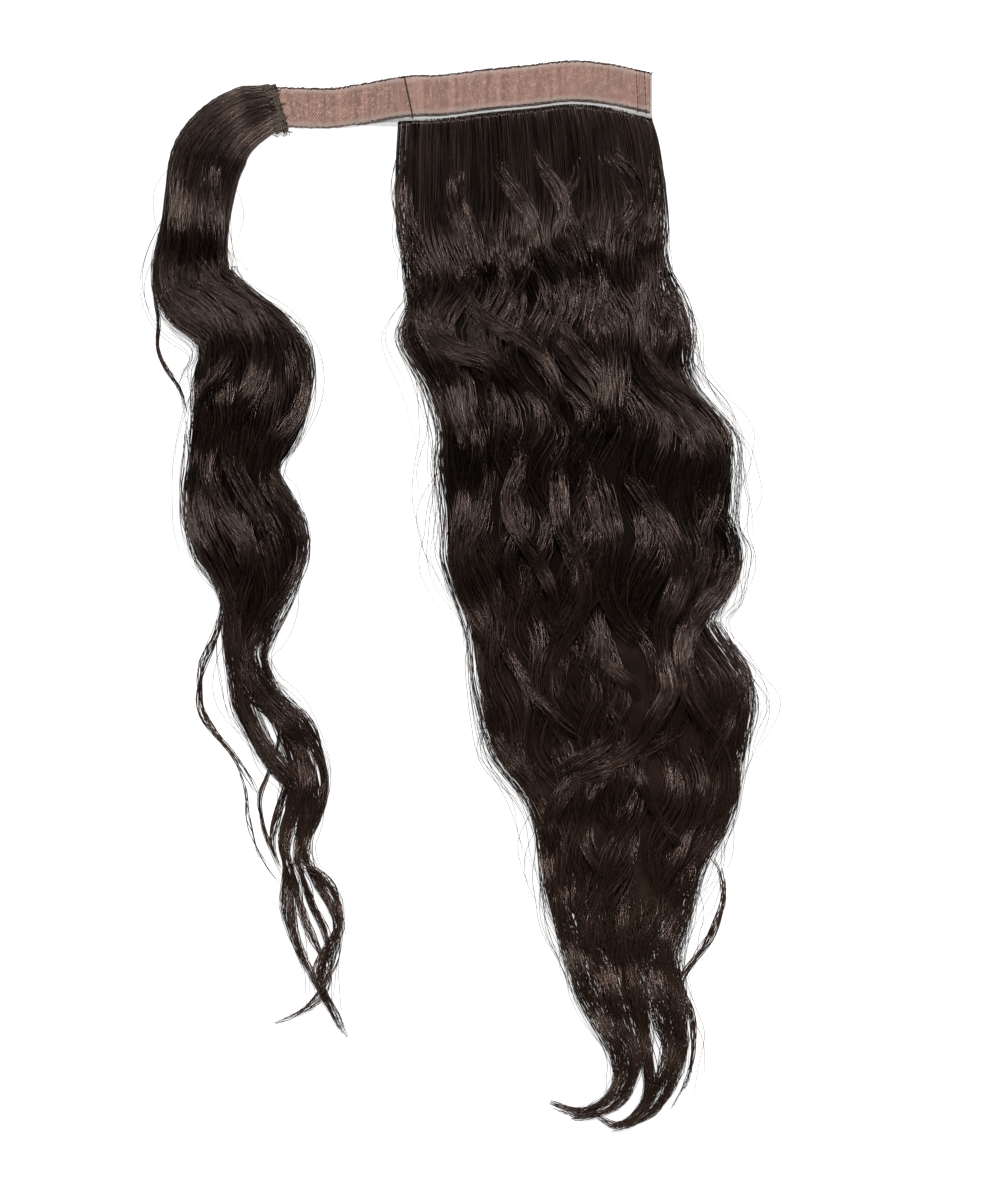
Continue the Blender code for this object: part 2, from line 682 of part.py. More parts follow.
def build_weft(material, parts):
    """A box with rounded long edges, a gap above the tape."""
    middle = weft_middle()
    low = tape_lift(middle.x) + TAPE_THICKNESS + PIECE_GAP
    bpy.ops.mesh.primitive_cube_add(size=1.0)
    band = bpy.context.active_object
    band.name = "wrap_weft"
    for vert in band.data.vertices:
        vert.co.x *= WEFT_WIDTH
        vert.co.y *= WEFT_LENGTH
        vert.co.z *= WEFT_THICKNESS
    band.location = (middle.x, middle.y, low + WEFT_THICKNESS / 2)
    band.rotation_euler = (0.0, 0.0, WEFT_TILT)
    edge = band.modifiers.new("round", "BEVEL")
    edge.width = WEFT_EDGE
    edge.segments = WEFT_EDGE_SEGMENTS
    band.data.materials.append(material)
    for owner in list(band.users_collection):
        owner.objects.unlink(band)
    parts.objects.link(band)
    return band


def main():
    clear_scene()
    parts = new_collection("ponytail_hairpiece")
    cutters = new_collection("lock_guides")
    tape = new_material("pinkish_brown_pile", (0.46, 0.27, 0.22), 0.9)
    backing = new_material("white_satin", (0.80, 0.78, 0.75), 0.6)
    weft = new_material("stitched_brown_thread", (0.070, 0.052, 0.042), 0.75)
    hair = new_material("dark_brown_hair", (0.014, 0.010, 0.008), 0.4)
    build_tape(tape, parts)
    build_backing(backing, parts)
    build_weft(weft, parts)
    build_tail(hair, parts, cutters)
    build_wrap(hair, parts, cutters)


main()
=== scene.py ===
"""Wrap-around ponytail hairpiece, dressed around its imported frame.

A long wavy tail of dark hair hangs from under the right half of a hook-and-loop tape. A narrower
lock is sewn to the tape's left end. The hair is made of real strands over a dark bed, and the
tape, the white strip under it and the stitched band are cloth with their own threads.
Units are metres and +Z is up. The piece lies on the plane z = 0, and the camera looks straight down.
"""

import logging
import math
from dataclasses import dataclass, field
from enum import Enum

import bpy
import numpy as np
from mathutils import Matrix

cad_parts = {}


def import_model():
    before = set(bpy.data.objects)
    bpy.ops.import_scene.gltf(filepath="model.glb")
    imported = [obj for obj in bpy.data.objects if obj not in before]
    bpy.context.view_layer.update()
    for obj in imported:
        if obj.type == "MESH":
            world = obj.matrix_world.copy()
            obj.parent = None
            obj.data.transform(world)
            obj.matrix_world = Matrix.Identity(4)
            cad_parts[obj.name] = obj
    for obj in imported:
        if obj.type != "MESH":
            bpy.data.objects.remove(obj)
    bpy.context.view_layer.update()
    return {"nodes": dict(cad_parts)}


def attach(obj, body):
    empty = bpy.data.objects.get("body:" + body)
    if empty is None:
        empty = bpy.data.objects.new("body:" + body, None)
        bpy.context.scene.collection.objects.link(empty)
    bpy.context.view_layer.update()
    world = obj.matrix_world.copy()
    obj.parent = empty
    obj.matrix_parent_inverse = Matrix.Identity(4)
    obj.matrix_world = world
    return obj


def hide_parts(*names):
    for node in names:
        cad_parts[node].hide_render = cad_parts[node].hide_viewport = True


log = logging.getLogger("ponytail")

MM = 0.001
BODY = "root"
STRAND_UV = "OFBake"
BED_UV = "along_hair"
CLOTH_UV = "strip"
TONE_ATTRIBUTE = "strand_tone"

# The lowest that a strand's skin and its middle line may lie above the floor
SKIN_FLOOR = 0.03 * MM
STRAND_FLOOR = 0.35 * MM

# Share of a strand's place across its lock that it has from its wisp
WISP_SHARE = 0.62


class Slot(Enum):
    """The record's material slots."""

    TAPE = "tape"
    BACKING = "backing"
    WEFT = "weft"
    HAIR = "hair"


class Depth(Enum):
    """How deep a strand lies between the floor and the hair's outer surface: lowest and highest share."""

    INNER = (0.15, 0.75)
    OUTER = (0.70, 1.00)


# Curves and steps

def smooth_step(value: np.ndarray | float) -> np.ndarray:
    """Eases from 0 to 1 as the value goes from 0 to 1, and holds beyond."""
    held = np.clip(value, 0.0, 1.0)
    return held * held * (3 - 2 * held)


def smooth_curve(keys: list[float], values: list[float], at: np.ndarray) -> np.ndarray:
    """Reads a smooth curve through (key, value) pairs, which holds its end values beyond them.

    Args:
        keys: rising keys.
        values: the value at each key.
        at: where to read.

    Returns:
        The curve's values there.
    """
    k = np.asarray(keys, dtype=float)
    v = np.asarray(values, dtype=float)
    slope = np.empty_like(v)
    slope[1:-1] = (v[2:] - v[:-2]) / (k[2:] - k[:-2])
    slope[0] = (v[1] - v[0]) / (k[1] - k[0])
    slope[-1] = (v[-1] - v[-2]) / (k[-1] - k[-2])
    place = np.clip(at, k[0], k[-1])
    i = np.clip(np.searchsorted(k, place, side="right") - 1, 0, len(k) - 2)
    step = k[i + 1] - k[i]
    t = (place - k[i]) / step
    leave = (1 + 2 * t) * (1 - t) ** 2 * v[i] + t * (1 - t) ** 2 * step * slope[i]
    arrive = t * t * (3 - 2 * t) * v[i + 1] - t * t * (1 - t) * step * slope[i + 1]
    return leave + arrive


def unit(vectors: np.ndarray) -> np.ndarray:
    """Scales vectors along the last axis to length 1."""
    length = np.linalg.norm(vectors, axis=-1, keepdims=True)
    return vectors / np.maximum(length, 1e-12)


@dataclass(frozen=True)
class TailRow:
    """A section of the tail.

    Args:
        down: place in tail lengths.
        left: left edge in half tail widths from the tail's middle.
        right: right edge likewise.
        height: height in tail thicknesses.
    """

    down: float
    left: float
    right: float
    height: float


@dataclass(frozen=True)
class PathRow:
    """A point of a lock's middle line.

    Args:
        down: place in hair lengths from the root.
        side: place sideways, in the piece's own unit of width.
        width: width in hair widths.
        height: height in hair thicknesses.
    """

    down: float
    side: float
    width: float
    height: float


@dataclass(frozen=True)
class TracedLock:
    """A lock's middle line in plan, and the strands in it.

    Args:
        count: how many strands it has.
        rows: x, y, width and lift along it, all in millimetres.
    """

    count: int
    rows: tuple[tuple[float, float, float, float], ...]


def lock(count: int, rows: tuple[tuple[float, float, float, float], ...]) -> TracedLock:
    """A traced lock."""
    return TracedLock(count, rows)


def read_rows(rows: tuple[TailRow | PathRow, ...], column: str, down: np.ndarray) -> np.ndarray:
    """Reads one column of a table of sections at shares of the length."""
    return smooth_curve([row.down for row in rows], [getattr(row, column) for row in rows], down)


TAIL_ROWS = (
    TailRow(0.000, -1.00, 1.00, 0.50),
    TailRow(0.020, -1.01, 1.05, 0.49),
    TailRow(0.050, -1.02, 1.09, 0.46),
    TailRow(0.105, -1.02, 1.14, 0.44),
    TailRow(0.132, -0.97, 1.12, 0.52),
    TailRow(0.161, -0.87, 1.12, 0.64),
    TailRow(0.178, -0.92, 1.15, 0.63),
    TailRow(0.196, -0.99, 1.24, 0.72),
    TailRow(0.216, -1.02, 1.30, 0.82),
    TailRow(0.260, -0.85, 1.35, 0.84),
    TailRow(0.309, -0.73, 1.65, 0.87),
    TailRow(0.334, -0.72, 1.70, 0.90),
    TailRow(0.383, -0.70, 1.69, 0.86),
    TailRow(0.408, -0.69, 1.66, 0.92),
    TailRow(0.432, -0.69, 1.70, 0.97),
    TailRow(0.481, -0.55, 1.59, 0.89),
    TailRow(0.501, -0.50, 1.49, 0.84),
    TailRow(0.550, -0.45, 1.72, 0.92),
    TailRow(0.580, -0.39, 1.83, 0.92),
    TailRow(0.629, -0.29, 1.74, 0.81),
    TailRow(0.683, 0.02, 1.64, 0.78),
    TailRow(0.737, 0.12, 1.47, 0.70),
    TailRow(0.776, 0.17, 1.35, 0.65),
    TailRow(0.815, 0.28, 1.27, 0.59),
    TailRow(0.855, 0.43, 1.21, 0.54),
    TailRow(0.884, 0.53, 1.22, 0.43),
    TailRow(0.909, 0.64, 1.27, 0.27),
    TailRow(0.940, 0.72, 1.26, 0.20),
)

WRAP_ROWS = (
    PathRow(0.000, 0.00, 0.38, 0.42),
    PathRow(0.006, -0.14, 0.48, 0.70),
    PathRow(0.026, -0.35, 0.56, 0.88),
    PathRow(0.054, -0.50, 0.60, 0.85),
    PathRow(0.089, -0.56, 0.57, 0.78),
    PathRow(0.125, -0.60, 0.57, 0.83),
    PathRow(0.166, -0.63, 0.64, 0.97),
    PathRow(0.198, -0.59, 0.67, 0.84),
    PathRow(0.226, -0.36, 0.66, 0.94),
    PathRow(0.252, -0.22, 0.90, 1.00),
    PathRow(0.294, -0.14, 1.02, 1.00),
    PathRow(0.335, -0.19, 0.94, 0.94),
    PathRow(0.370, -0.27, 0.80, 0.88),
    PathRow(0.402, -0.29, 0.81, 0.90),
    PathRow(0.435, -0.24, 0.93, 0.94),
    PathRow(0.475, -0.15, 0.97, 0.94),
    PathRow(0.517, -0.10, 0.69, 0.86),
    PathRow(0.550, -0.14, 0.50, 0.80),
    PathRow(0.585, -0.20, 0.34, 0.70),
    PathRow(0.610, -0.17, 0.34, 0.66),
    PathRow(0.635, -0.10, 0.40, 0.64),
    PathRow(0.660, 0.03, 0.46, 0.62),
    PathRow(0.690, 0.16, 0.46, 0.56),
    PathRow(0.722, 0.27, 0.38, 0.50),
    PathRow(0.755, 0.27, 0.32, 0.46),
    PathRow(0.790, 0.20, 0.26, 0.42),
    PathRow(0.822, 0.25, 0.24, 0.40),
    PathRow(0.852, 0.34, 0.30, 0.34),
    PathRow(0.895, 0.40, 0.28, 0.28),
    PathRow(0.930, 0.42, 0.18, 0.22),
)

TAIL_TIPS = (
    lock(1, (
        (59, -173.5, 17, 5), (65.5, -193.5, 17, 5), (74, -211, 15, 4), (82, -226, 12, 4),
        (83, -240, 8, 3), (75.5, -251, 5, 2), (62, -256.5, 3, 1.5), (47.5, -252.5, 1, 1),
    )),
    lock(1, (
        (72, -173.5, 17, 6), (78, -193.5, 17, 6), (84, -211, 14, 5), (90, -226, 10, 4),
        (89, -240, 6, 3), (82, -253, 3.5, 2), (71, -258, 2, 1.5), (58, -260, 1, 1),
    )),
    lock(1, (
        (84, -173.5, 17, 7), (89, -193.5, 16, 6), (93, -211, 11, 5), (96, -228.5, 7, 4),
        (98, -243.5, 6, 3), (93, -256, 4.5, 2), (82, -263.5, 3, 1.5), (71.5, -259, 1, 1),
    )),
    lock(1, (
        (95.5, -173.5, 16, 6), (100.5, -193.5, 15, 6), (105.5, -211, 13, 5), (108, -226, 11, 4),
        (104, -241, 8, 3), (97, -253.5, 4.5, 2), (88, -262, 2.5, 1.5), (77, -265, 1, 1),
    )),
    lock(1, (
        (105, -173.5, 13, 5), (110, -193.5, 12, 5), (113, -211, 9, 4), (113.5, -226, 6, 3),
        (110, -241, 4, 2), (103, -253.5, 2.5, 1.5), (94, -261, 1.5, 1.2), (85.5, -265, 0.8, 1),
    )),
)

TAIL_TRACED = (
    lock(44, (
        (16.5, 229, 12, -1), (24.5, 214, 14, 0.4), (33.5, 199, 15, 1.8), (41, 183.5, 15, 3.2),
        (44, 170, 13, 3.4), (45.5, 163, 10, 0),
    )),
    lock(40, (
        (38, 231.5, 10, -1), (42.5, 218.5, 12, 0.6), (52, 205, 13, 1), (56.5, 192.5, 13, 2.6),
        (53.5, 179, 13, 3.4), (59.5, 168, 11, 0),
    )),
    lock(44, (
        (71.5, 235, 10, -1), (77.5, 221.5, 13, 1.4), (87.5, 210, 13, 1.6), (90.5, 198, 13, 2.2),
        (84, 186, 14, 3.2), (81, 172, 12, 2),
    )),
    lock(40, (
        (7, 224, 10, -1), (1, 206.5, 12, 1.2), (3, 193, 13, 1.4), (8, 179, 14, 3), (13, 165, 13, 3.4),
        (18, 158, 10, 0),
    )),
    lock(36, (
        (-22, 231.5, 9, -1), (-25.5, 209, 11, 0.4), (-24, 191.5, 12, 1.6), (-19, 176.5, 12, 2.8),
        (-15, 165, 10, 0),
    )),
    lock(34, (
        (96, 229, 9, -1), (100, 211, 10, 0.8), (99, 193, 11, 1.6), (95, 177, 11, 2.8), (93, 165, 9, 0),
    )),
    lock(36, (
        (54.5, 229, 10, -1), (60, 215, 12, 0.8), (54, 199, 12, 1.4), (60, 181, 13, 3),
        (68, 168, 11, 0.6),
    )),
    lock(56, (
        (-7, 171.5, 5, -2), (3, 156.5, 11, -1), (15.5, 140, 13, 1.5), (33, 129, 12, 1.5),
        (45.5, 118, 11, 0), (52, 105, 10, 1.5), (56, 93, 7, 1), (53, 79, 3, -3),
    )),
    lock(46, (
        (-23, 156.5, 8, -2), (-15, 138, 15, 1), (0.5, 126, 17, 2.2), (18, 119, 15, 1.5),
        (25.5, 106.5, 13, -1), (27, 93, 11, -2),
    )),
    lock(90, (
        (-17, 189, 17, -1), (-19.5, 171.5, 17, 2.6), (-18, 156.5, 17, -1), (-14.5, 140, 18, 2),
        (-7, 124, 17, 0), (0.5, 106.5, 16, -1), (4, 91.5, 16, 1.2), (7, 79, 15, 2.4),
        (8, 61.5, 14, -1),
    )),
    lock(70, (
        (8, 199, 17, -1), (12, 181.5, 19, 1.6), (15, 165, 19, 3.6), (16, 157, 17, -1),
        (19, 144, 15, -2),
    )),
    lock(64, (
        (33, 201.5, 17, -1), (35, 184, 18, 1.6), (36, 168, 18, 3.4), (38, 159, 15, -1),
        (43, 146.5, 13, -2),
    )),
    lock(70, (
        (60.5, 204, 20, -1), (64, 186.5, 21, 1.4), (68, 171.5, 21, 3.2), (70, 164, 18, -1),
        (73, 151.5, 15, -2),
    )),
    lock(50, (
        (47, 154, 7, -1), (51, 136.5, 11, 0), (62, 121.5, 13, 0.5), (72, 109, 12, 1),
        (73, 98, 10, 2.2), (68, 89, 6, 1), (60.5, 82, 3, -2),
    )),
    lock(110, (
        (57, 161.5, 8, -2), (67, 151.5, 16, 0), (76, 136.5, 20, 0.5), (79, 119, 19, 1),
        (78.5, 101.5, 18, 2.5), (78, 87, 16, 3.6), (76, 79, 8, 0),
    )),
    lock(60, (
        (92, 179, 10, -1), (96, 164, 11, 0), (95.5, 150, 10, 2), (94, 136.5, 9, 0), (97, 123, 9, 0),
        (105.5, 110, 9, 2), (118, 100, 9, 2.5), (130.5, 89, 8, 0.5), (139, 75, 7, -1),
    )),
    lock(46, (
        (100.5, 204, 8, -1), (103, 186.5, 8, 0), (104.5, 168, 9, 0), (112, 151, 11, 0),
        (117, 131.5, 11, 2), (117, 116.5, 10, 1), (123, 103, 9, 0),
    )),
    lock(36, (
        (100.5, 154, 9, -1), (107, 143, 11, 0), (109, 131.5, 12, 2), (105, 119, 10, 0.5),
        (100.5, 106.5, 7, -2),
    )),
    lock(120, (
        (100.5, 106.5, 13, -1), (114, 93, 20, 0), (124.5, 79, 23, 2), (128, 66, 22, 2.4),
        (126, 51.5, 18, -1), (123, 39, 15, -1),
    )),
    lock(104, (
        (-2, 109, 15, -1), (4, 94, 17, 0), (9, 81.5, 18, 2.5), (10, 68, 17, 1.5), (8, 49, 15, -1),
        (6, 34, 14, 1), (4, 19, 13, 2), (8, -1, 13, -1), (16, -18.5, 12, 1), (20.5, -33.5, 10, -1),
    )),
    lock(50, (
        (38, 74, 8, -1), (29, 59, 9, 0), (27, 45, 10, 2), (33, 31.5, 9, 2), (42, 18, 8, 0),
        (49, 3, 8, 1), (54, -11, 7, -1),
    )),
    lock(84, (
        (50.5, 74, 9, -1), (52, 54, 11, 0), (54, 34, 11, 1), (62, 16.5, 11, 0), (63, 1.5, 12, 2),
        (58, -12, 12, 2.5), (51, -26, 11, 0), (49, -40, 10, 0), (53, -53.5, 9, 1), (63, -65, 7, 0),
    )),
    lock(90, (
        (68, 64, 15, -1), (73, 46.5, 18, 0), (77, 31.5, 19, 2.5), (76, 19, 16, 2), (75, 4, 12, 0),
        (82, -10, 11, -1), (93, -22, 10, -1),
    )),
    lock(96, (
        (85.5, 64, 12, -1), (98, 46.5, 13, 0), (109, 29, 13, 0), (113, 14, 13, 1), (109, -1, 14, 2.5),
        (104, -13.5, 12, 2), (104, -28.5, 9, 0), (107, -46, 10, 1), (100.5, -58.5, 11, 2),
        (93, -71, 10, 0), (78, -83.5, 9, 1), (63, -93.5, 7, 0),
    )),
    lock(90, (
        (118, 64, 12, -1), (125.5, 49, 12, 1), (135.5, 35, 11, 2), (139.5, 19, 10, 0), (134, 5, 11, 1),
        (124.5, -5, 12, 2), (117, -17, 11, 0), (114, -31, 10, 0), (119, -48.5, 11, 1),
        (129, -66, 11, 0), (137, -83.5, 11, 0), (137, -101, 10, 1), (130.5, -118.5, 9, 1),
        (120.5, -132, 8, 0), (112, -146, 8, 0), (108, -166, 7, 0),
    )),
    lock(44, (
        (127, -8.5, 7, -1), (136, -23.5, 9, 0), (144, -37, 9, 1), (146, -53.5, 9, 0), (144, -72, 7, 0),
        (139, -90, 5, -1),
    )),
    lock(40, (
        (68, -21, 8, -2), (75.5, -32, 13, -0.5), (85.5, -42, 14, 0.8), (93, -50, 11, -0.5),
    )),
    lock(64, (
        (118, -62, 7, -2.5), (100.5, -72, 12, -0.8), (80.5, -81, 13, 0.2), (62, -90, 12, 0.8),
        (50, -103.5, 10, 1), (46, -121, 10, 0), (48, -141, 10, 0), (53, -161, 10, 0),
        (59, -178.5, 10, 0),
    )),
    lock(30, (
        (73, -51, 8, -1), (80.5, -63.5, 9, 0), (73, -75, 9, 1.5), (60.5, -82, 8, 1.5),
        (45.5, -91, 6, 0),
    )),
    lock(44, (
        (23, -21, 8, -1), (30.5, -36, 10, -1.5), (40.5, -51, 11, -1), (53, -63.5, 10, 0.5), (68, -73.5, 7, 0),
    )),
    lock(50, (
        (93, -91, 9, -1), (87, -107, 12, 1), (79, -122, 13, 2), (74.5, -137, 11, 0),
        (75.5, -153.5, 10, 0),
    )),
    lock(44, (
        (118, -73.5, 9, 0), (124, -91, 10, 1), (120.5, -108.5, 10, 1), (114, -123.5, 9, 0),
        (107, -138.5, 9, 1), (100.5, -153.5, 8, 0),
    )),
    lock(40, (
        (98, -73.5, 10, 0), (95.5, -88.5, 11, 1), (100.5, -103.5, 10, 1), (110.5, -118.5, 8, 0),
        (118, -130, 6, -1),
    )),
    lock(40, (
        (78, -83.5, 9, 0), (68, -101, 10, 1), (65.5, -118.5, 10, 1), (72, -133.5, 8, 0),
        (79, -146, 7, -1),
    )),
    lock(50, (
        (13, -46, 9, 0), (19, -66, 10, 1), (30.5, -83.5, 10, 0), (42, -98.5, 9, 0), (49, -116, 9, 1),
        (53, -136, 9, 0),
    )),
    lock(20, (
        (126, -125, 3.5, 0), (133, -137, 4, 0), (134, -152, 4, 0), (128, -168.5, 4.5, 0),
        (119, -182, 5, 0), (113, -193.5, 5, 0), (118, -208.5, 3.5, 0), (119.5, -225, 2.5, 0),
        (117, -241, 2, 0), (107, -257, 1.5, -1),
    )),
)

WRAP_TIPS = (
    lock(1, (
        (-77, -130, 7, 4), (-68, -137, 5, 4), (-60, -146, 4, 3), (-56.5, -158.5, 3.5, 3),
        (-58, -173.5, 3, 2.5), (-62.5, -187, 2.5, 2), (-68, -198.5, 1.8, 1.5), (-78, -208, 1.2, 1),
        (-90, -212.5, 0.8, 1),
    )),
    lock(1, (
        (-74, -130, 6, 3), (-68, -142, 4, 3), (-61.5, -153.5, 3, 3), (-58.5, -165, 2.5, 2.5),
        (-65, -176, 2.5, 2), (-69, -187, 2, 2), (-65.5, -196, 1.5, 1.5), (-62, -206, 1, 1),
        (-57, -216, 0.8, 1),
    )),
    lock(1, (
        (-78, -130, 7, 4), (-74.5, -141, 5, 3), (-70.5, -153.5, 3.5, 3), (-65, -165, 3, 2.5),
        (-62.5, -176, 2, 2), (-66.5, -187, 2, 2), (-64.5, -197, 1.5, 1.5), (-58, -207, 1, 1),
        (-53.5, -218.5, 0.8, 1),
    )),
    lock(1, (
        (-82, -130, 7, 4), (-80, -142, 6, 3), (-76.5, -156, 4, 3), (-71.5, -168, 3.5, 2.5),
        (-66.5, -178.5, 3, 2), (-64, -190, 2, 2), (-66.5, -200, 1.2, 1.5), (-74.5, -207, 1, 1),
        (-82, -210, 0.8, 1),
    )),
    lock(1, (
        (-85, -130, 7, 4), (-83.5, -142, 7, 3), (-82.5, -156, 5.5, 3), (-79.5, -170, 4, 2.5),
        (-74.5, -182, 3, 2), (-68.5, -193.5, 2, 2), (-63.5, -202.5, 1.5, 1.5), (-58.5, -212, 1, 1),
        (-53, -219.5, 0.8, 1),
    )),
)

WRAP_TRACED = (
    lock(14, (
        (-86, -58.5, 4, 0), (-88, -72, 4, 0), (-93, -87, 4.5, 0), (-97.5, -99.5, 4.5, 0),
        (-96, -111, 4, 0), (-92.5, -122, 4, 0), (-89, -132, 4, 0), (-85.5, -142, 4, 0),
    )),
    lock(16, (
        (-112.5, -35, 4, 0), (-110, -51, 4.5, 0), (-105.5, -63.5, 4.5, 0), (-98, -75, 4.5, 0),
        (-89, -83.5, 5, 0), (-81, -90, 5, 0),
    )),
    lock(20, (
        (-77, -77, 6, 0), (-81, -87, 6, 0), (-86, -97, 6, 0), (-90, -108.5, 6, 0), (-91.5, -120, 5, 0),
        (-89, -131, 5, 0),
    )),
    lock(18, (
        (-113, 11.5, 5, 0), (-116.5, -4, 5, 0), (-119.5, -18, 5, 0), (-126, -33.5, 4.5, 0),
        (-128, -47, 4, 0), (-126, -57.5, 4, 0), (-119.5, -68, 4, 0), (-110.5, -79, 3.5, 0),
        (-103, -91, 3, 0), (-97.5, -101, 2, 0),
    )),
    lock(6, (
        (-110.5, -79, 2, 0), (-105, -93.5, 2, 0), (-104, -108.5, 2, 0), (-100, -123.5, 2, 0),
        (-93, -135, 1.5, 0), (-86, -143.5, 1, 0),
    )),
    lock(14, (
        (-150, 168, 4, 0), (-150, 154, 4, 0), (-148, 139, 3.5, 0), (-148, 125, 3, 0),
        (-143, 114, 3.5, 0), (-136.5, 104.5, 4, 0), (-134, 91.5, 4, 0),
    )),
    lock(44, (
        (-144.5, 171.5, 12, -1), (-137, 156.5, 14, 1), (-124.5, 149, 13, 1), (-114.5, 136.5, 13, 0.5),
        (-111, 121.5, 14, 0), (-119.5, 106.5, 13, 2), (-127, 93, 12, 1), (-129, 76.5, 12, -1),
    )),
    lock(60, (
        (-132, 171.5, 10, -1), (-119.5, 156.5, 13, 1), (-104.5, 146.5, 14, 1), (-96, 131.5, 15, 0),
        (-96, 114, 15, 0), (-103, 99, 14, 2.4), (-109.5, 86.5, 13, 1), (-111, 71.5, 12, -1),
        (-104.5, 54, 11, 0), (-96, 39, 11, 1), (-93, 24, 11, 1),
    )),
    lock(60, (
        (-114.5, 166.5, 7, -1), (-104.5, 151, 10, 0.5), (-89.5, 140, 12, 0.5), (-77, 126.5, 12, 0),
        (-74, 109, 11, 0), (-79, 91.5, 11, 1), (-88, 79, 11, 2.4), (-92, 64, 11, 0),
        (-84.5, 49, 11, 0), (-77, 34, 10, 0.5), (-77, 19, 10, 1), (-84.5, 4, 11, 2),
        (-94.5, -8.5, 11, 1), (-102, -23.5, 10, 0),
    )),
    lock(44, (
        (-133.5, 89, 11, -1), (-131, 71.5, 11, 1), (-132, 54, 10, 0), (-130, 36.5, 10, 1),
        (-123.5, 21.5, 10, 2), (-115, 6.5, 9, 1), (-110, -8.5, 8, 0), (-107, -26, 8, 0),
        (-103, -46, 8, 0),
    )),
    lock(50, (
        (-119.5, 79, 12, 0), (-121, 61.5, 12, 1.5), (-114.5, 44, 11, 0), (-104.5, 29, 12, 1),
        (-102, 14, 12, 2), (-105.5, -1, 11, 1), (-108, -18.5, 9, 0),
    )),
    lock(50, (
        (-105, -26, 10, 0), (-101, -43.5, 12, 0), (-89.5, -55, 13, 0.5), (-77, -66, 13, 0),
        (-72, -81, 13, 0), (-72, -96, 12, 1), (-77, -111, 10, 0.5), (-81, -126, 8, 0),
    )),
    lock(30, (
        (-96, -46, 7, 0), (-82, -53.5, 8, 0), (-71, -65, 9, 0.5), (-66, -81, 7, 0), (-65, -98.5, 6, 0),
        (-70, -113.5, 6, 1), (-75, -126, 5, 0),
    )),
    lock(50, (
        (-134.5, 224, 15, -1), (-137, 209, 17, 0), (-138, 194, 17, 1.4), (-139, 181, 16, 2),
        (-138, 168, 14, -1),
    )),
    lock(50, (
        (-119.5, 224, 12, -1), (-121, 209, 15, 0), (-121, 194, 16, 1.2), (-120, 181, 16, 2),
        (-119, 168, 14, -1),
    )),
)


@dataclass
class TapeLine:
    """The line that the tape follows, in plan and in height, and the sizes of what is sewn to it.

    Args:
        start: middle of the tape's hidden left end, in plan.
        length: the tape's length.
        width: the tape's width.
        thickness: the tape's thickness.
        ramp: length over which the tape climbs onto the white strip.
        backing_length: the white strip's length.
        backing_thickness: its thickness.
        backing_shows: how far it shows below the tape.
        backing_past: how far it reaches past the tape's right end.
        backing_ramp: length over which it climbs onto the tail's head.
        head_thickness: height of the tail's sewn head.
        tail_width: width of the tail's root.
        gap: clearance between layers.
        tilt: lean of the stitched band and of the tape's end under it.
        lean_length: length over which the tape's lean fades out.
        band_reach: how far the stitched band's inner edge lies past the tape's left end.
        hair_reach: how far from that edge the wrap lock's hair starts.
        along: places along the tape, in tape lengths.
        rise: how far the middle line has risen there, in tape widths.
    """

    start: tuple[float, float] = (-90.0 * MM, 245.5 * MM)
    length: float = 188.0 * MM
    width: float = 20.0 * MM
    thickness: float = 1.6 * MM
    ramp: float = 10.0 * MM
    backing_length: float = 147.5 * MM
    backing_thickness: float = 1.2 * MM
    backing_shows: float = 2.6 * MM
    backing_past: float = 1.0 * MM
    backing_ramp: float = 20.0 * MM
    head_thickness: float = 4.5 * MM
    tail_width: float = 127.0 * MM
    gap: float = 0.3 * MM
    tilt: float = math.radians(16.0)
    lean_length: float = 20.0 * MM
    band_reach: float = 3.7 * MM
    hair_reach: float = 5.5 * MM
    along: tuple[float, ...] = (0.00, 0.15, 0.24, 0.36, 0.45, 0.56, 0.69, 0.79, 0.89, 1.00)
    rise: tuple[float, ...] = (0.00, -0.03, 0.08, 0.25, 0.28, 0.41, 0.53, 0.63, 0.55, 0.33)

    def middle(self, x: np.ndarray) -> np.ndarray:
        """Y of the tape's middle line at x."""
        share = (np.asarray(x, dtype=float) - self.start[0]) / self.length
        return self.start[1] + self.width * smooth_curve(self.along, self.rise, share)

    def end_x(self) -> float:
        """X of the tape's right end."""
        return self.start[0] + self.length

    def tail_middle_x(self) -> float:
        """X of the middle of the tail's root."""
        return self.end_x() + self.backing_past - self.tail_width / 2

    def backing_start_x(self) -> float:
        """X of the backing strip's left end."""
        return self.end_x() + self.backing_past - self.backing_length

    def backing_lift(self, x: np.ndarray) -> np.ndarray:
        """Height of the backing strip's underside at x."""
        ramp_end = self.tail_middle_x() - self.tail_width / 2 - 2 * self.gap
        return (self.head_thickness + self.gap) * smooth_step(1 + (x - ramp_end) / self.backing_ramp)

    def tape_lift(self, x: np.ndarray) -> np.ndarray:
        """Height of the tape's underside at x."""
        ramp_end = self.backing_start_x() - 2 * self.gap
        on_backing = self.backing_thickness + self.gap
        return self.backing_lift(x) + on_backing * smooth_step(1 + (x - ramp_end) / self.ramp)

    def band_axes(self) -> tuple[np.ndarray, np.ndarray]:
        """Unit directions in plan along the stitched band and across it."""
        along = np.array((math.sin(self.tilt), -math.cos(self.tilt)))
        across = np.array((math.cos(self.tilt), math.sin(self.tilt)))
        return along, across

    def lean(self, x: np.ndarray) -> np.ndarray:
        """Sideways lean of a line across the tape at x."""
        return math.tan(self.tilt) * smooth_step(1 - (x - self.start[0]) / self.lean_length)


TAPE = TapeLine()


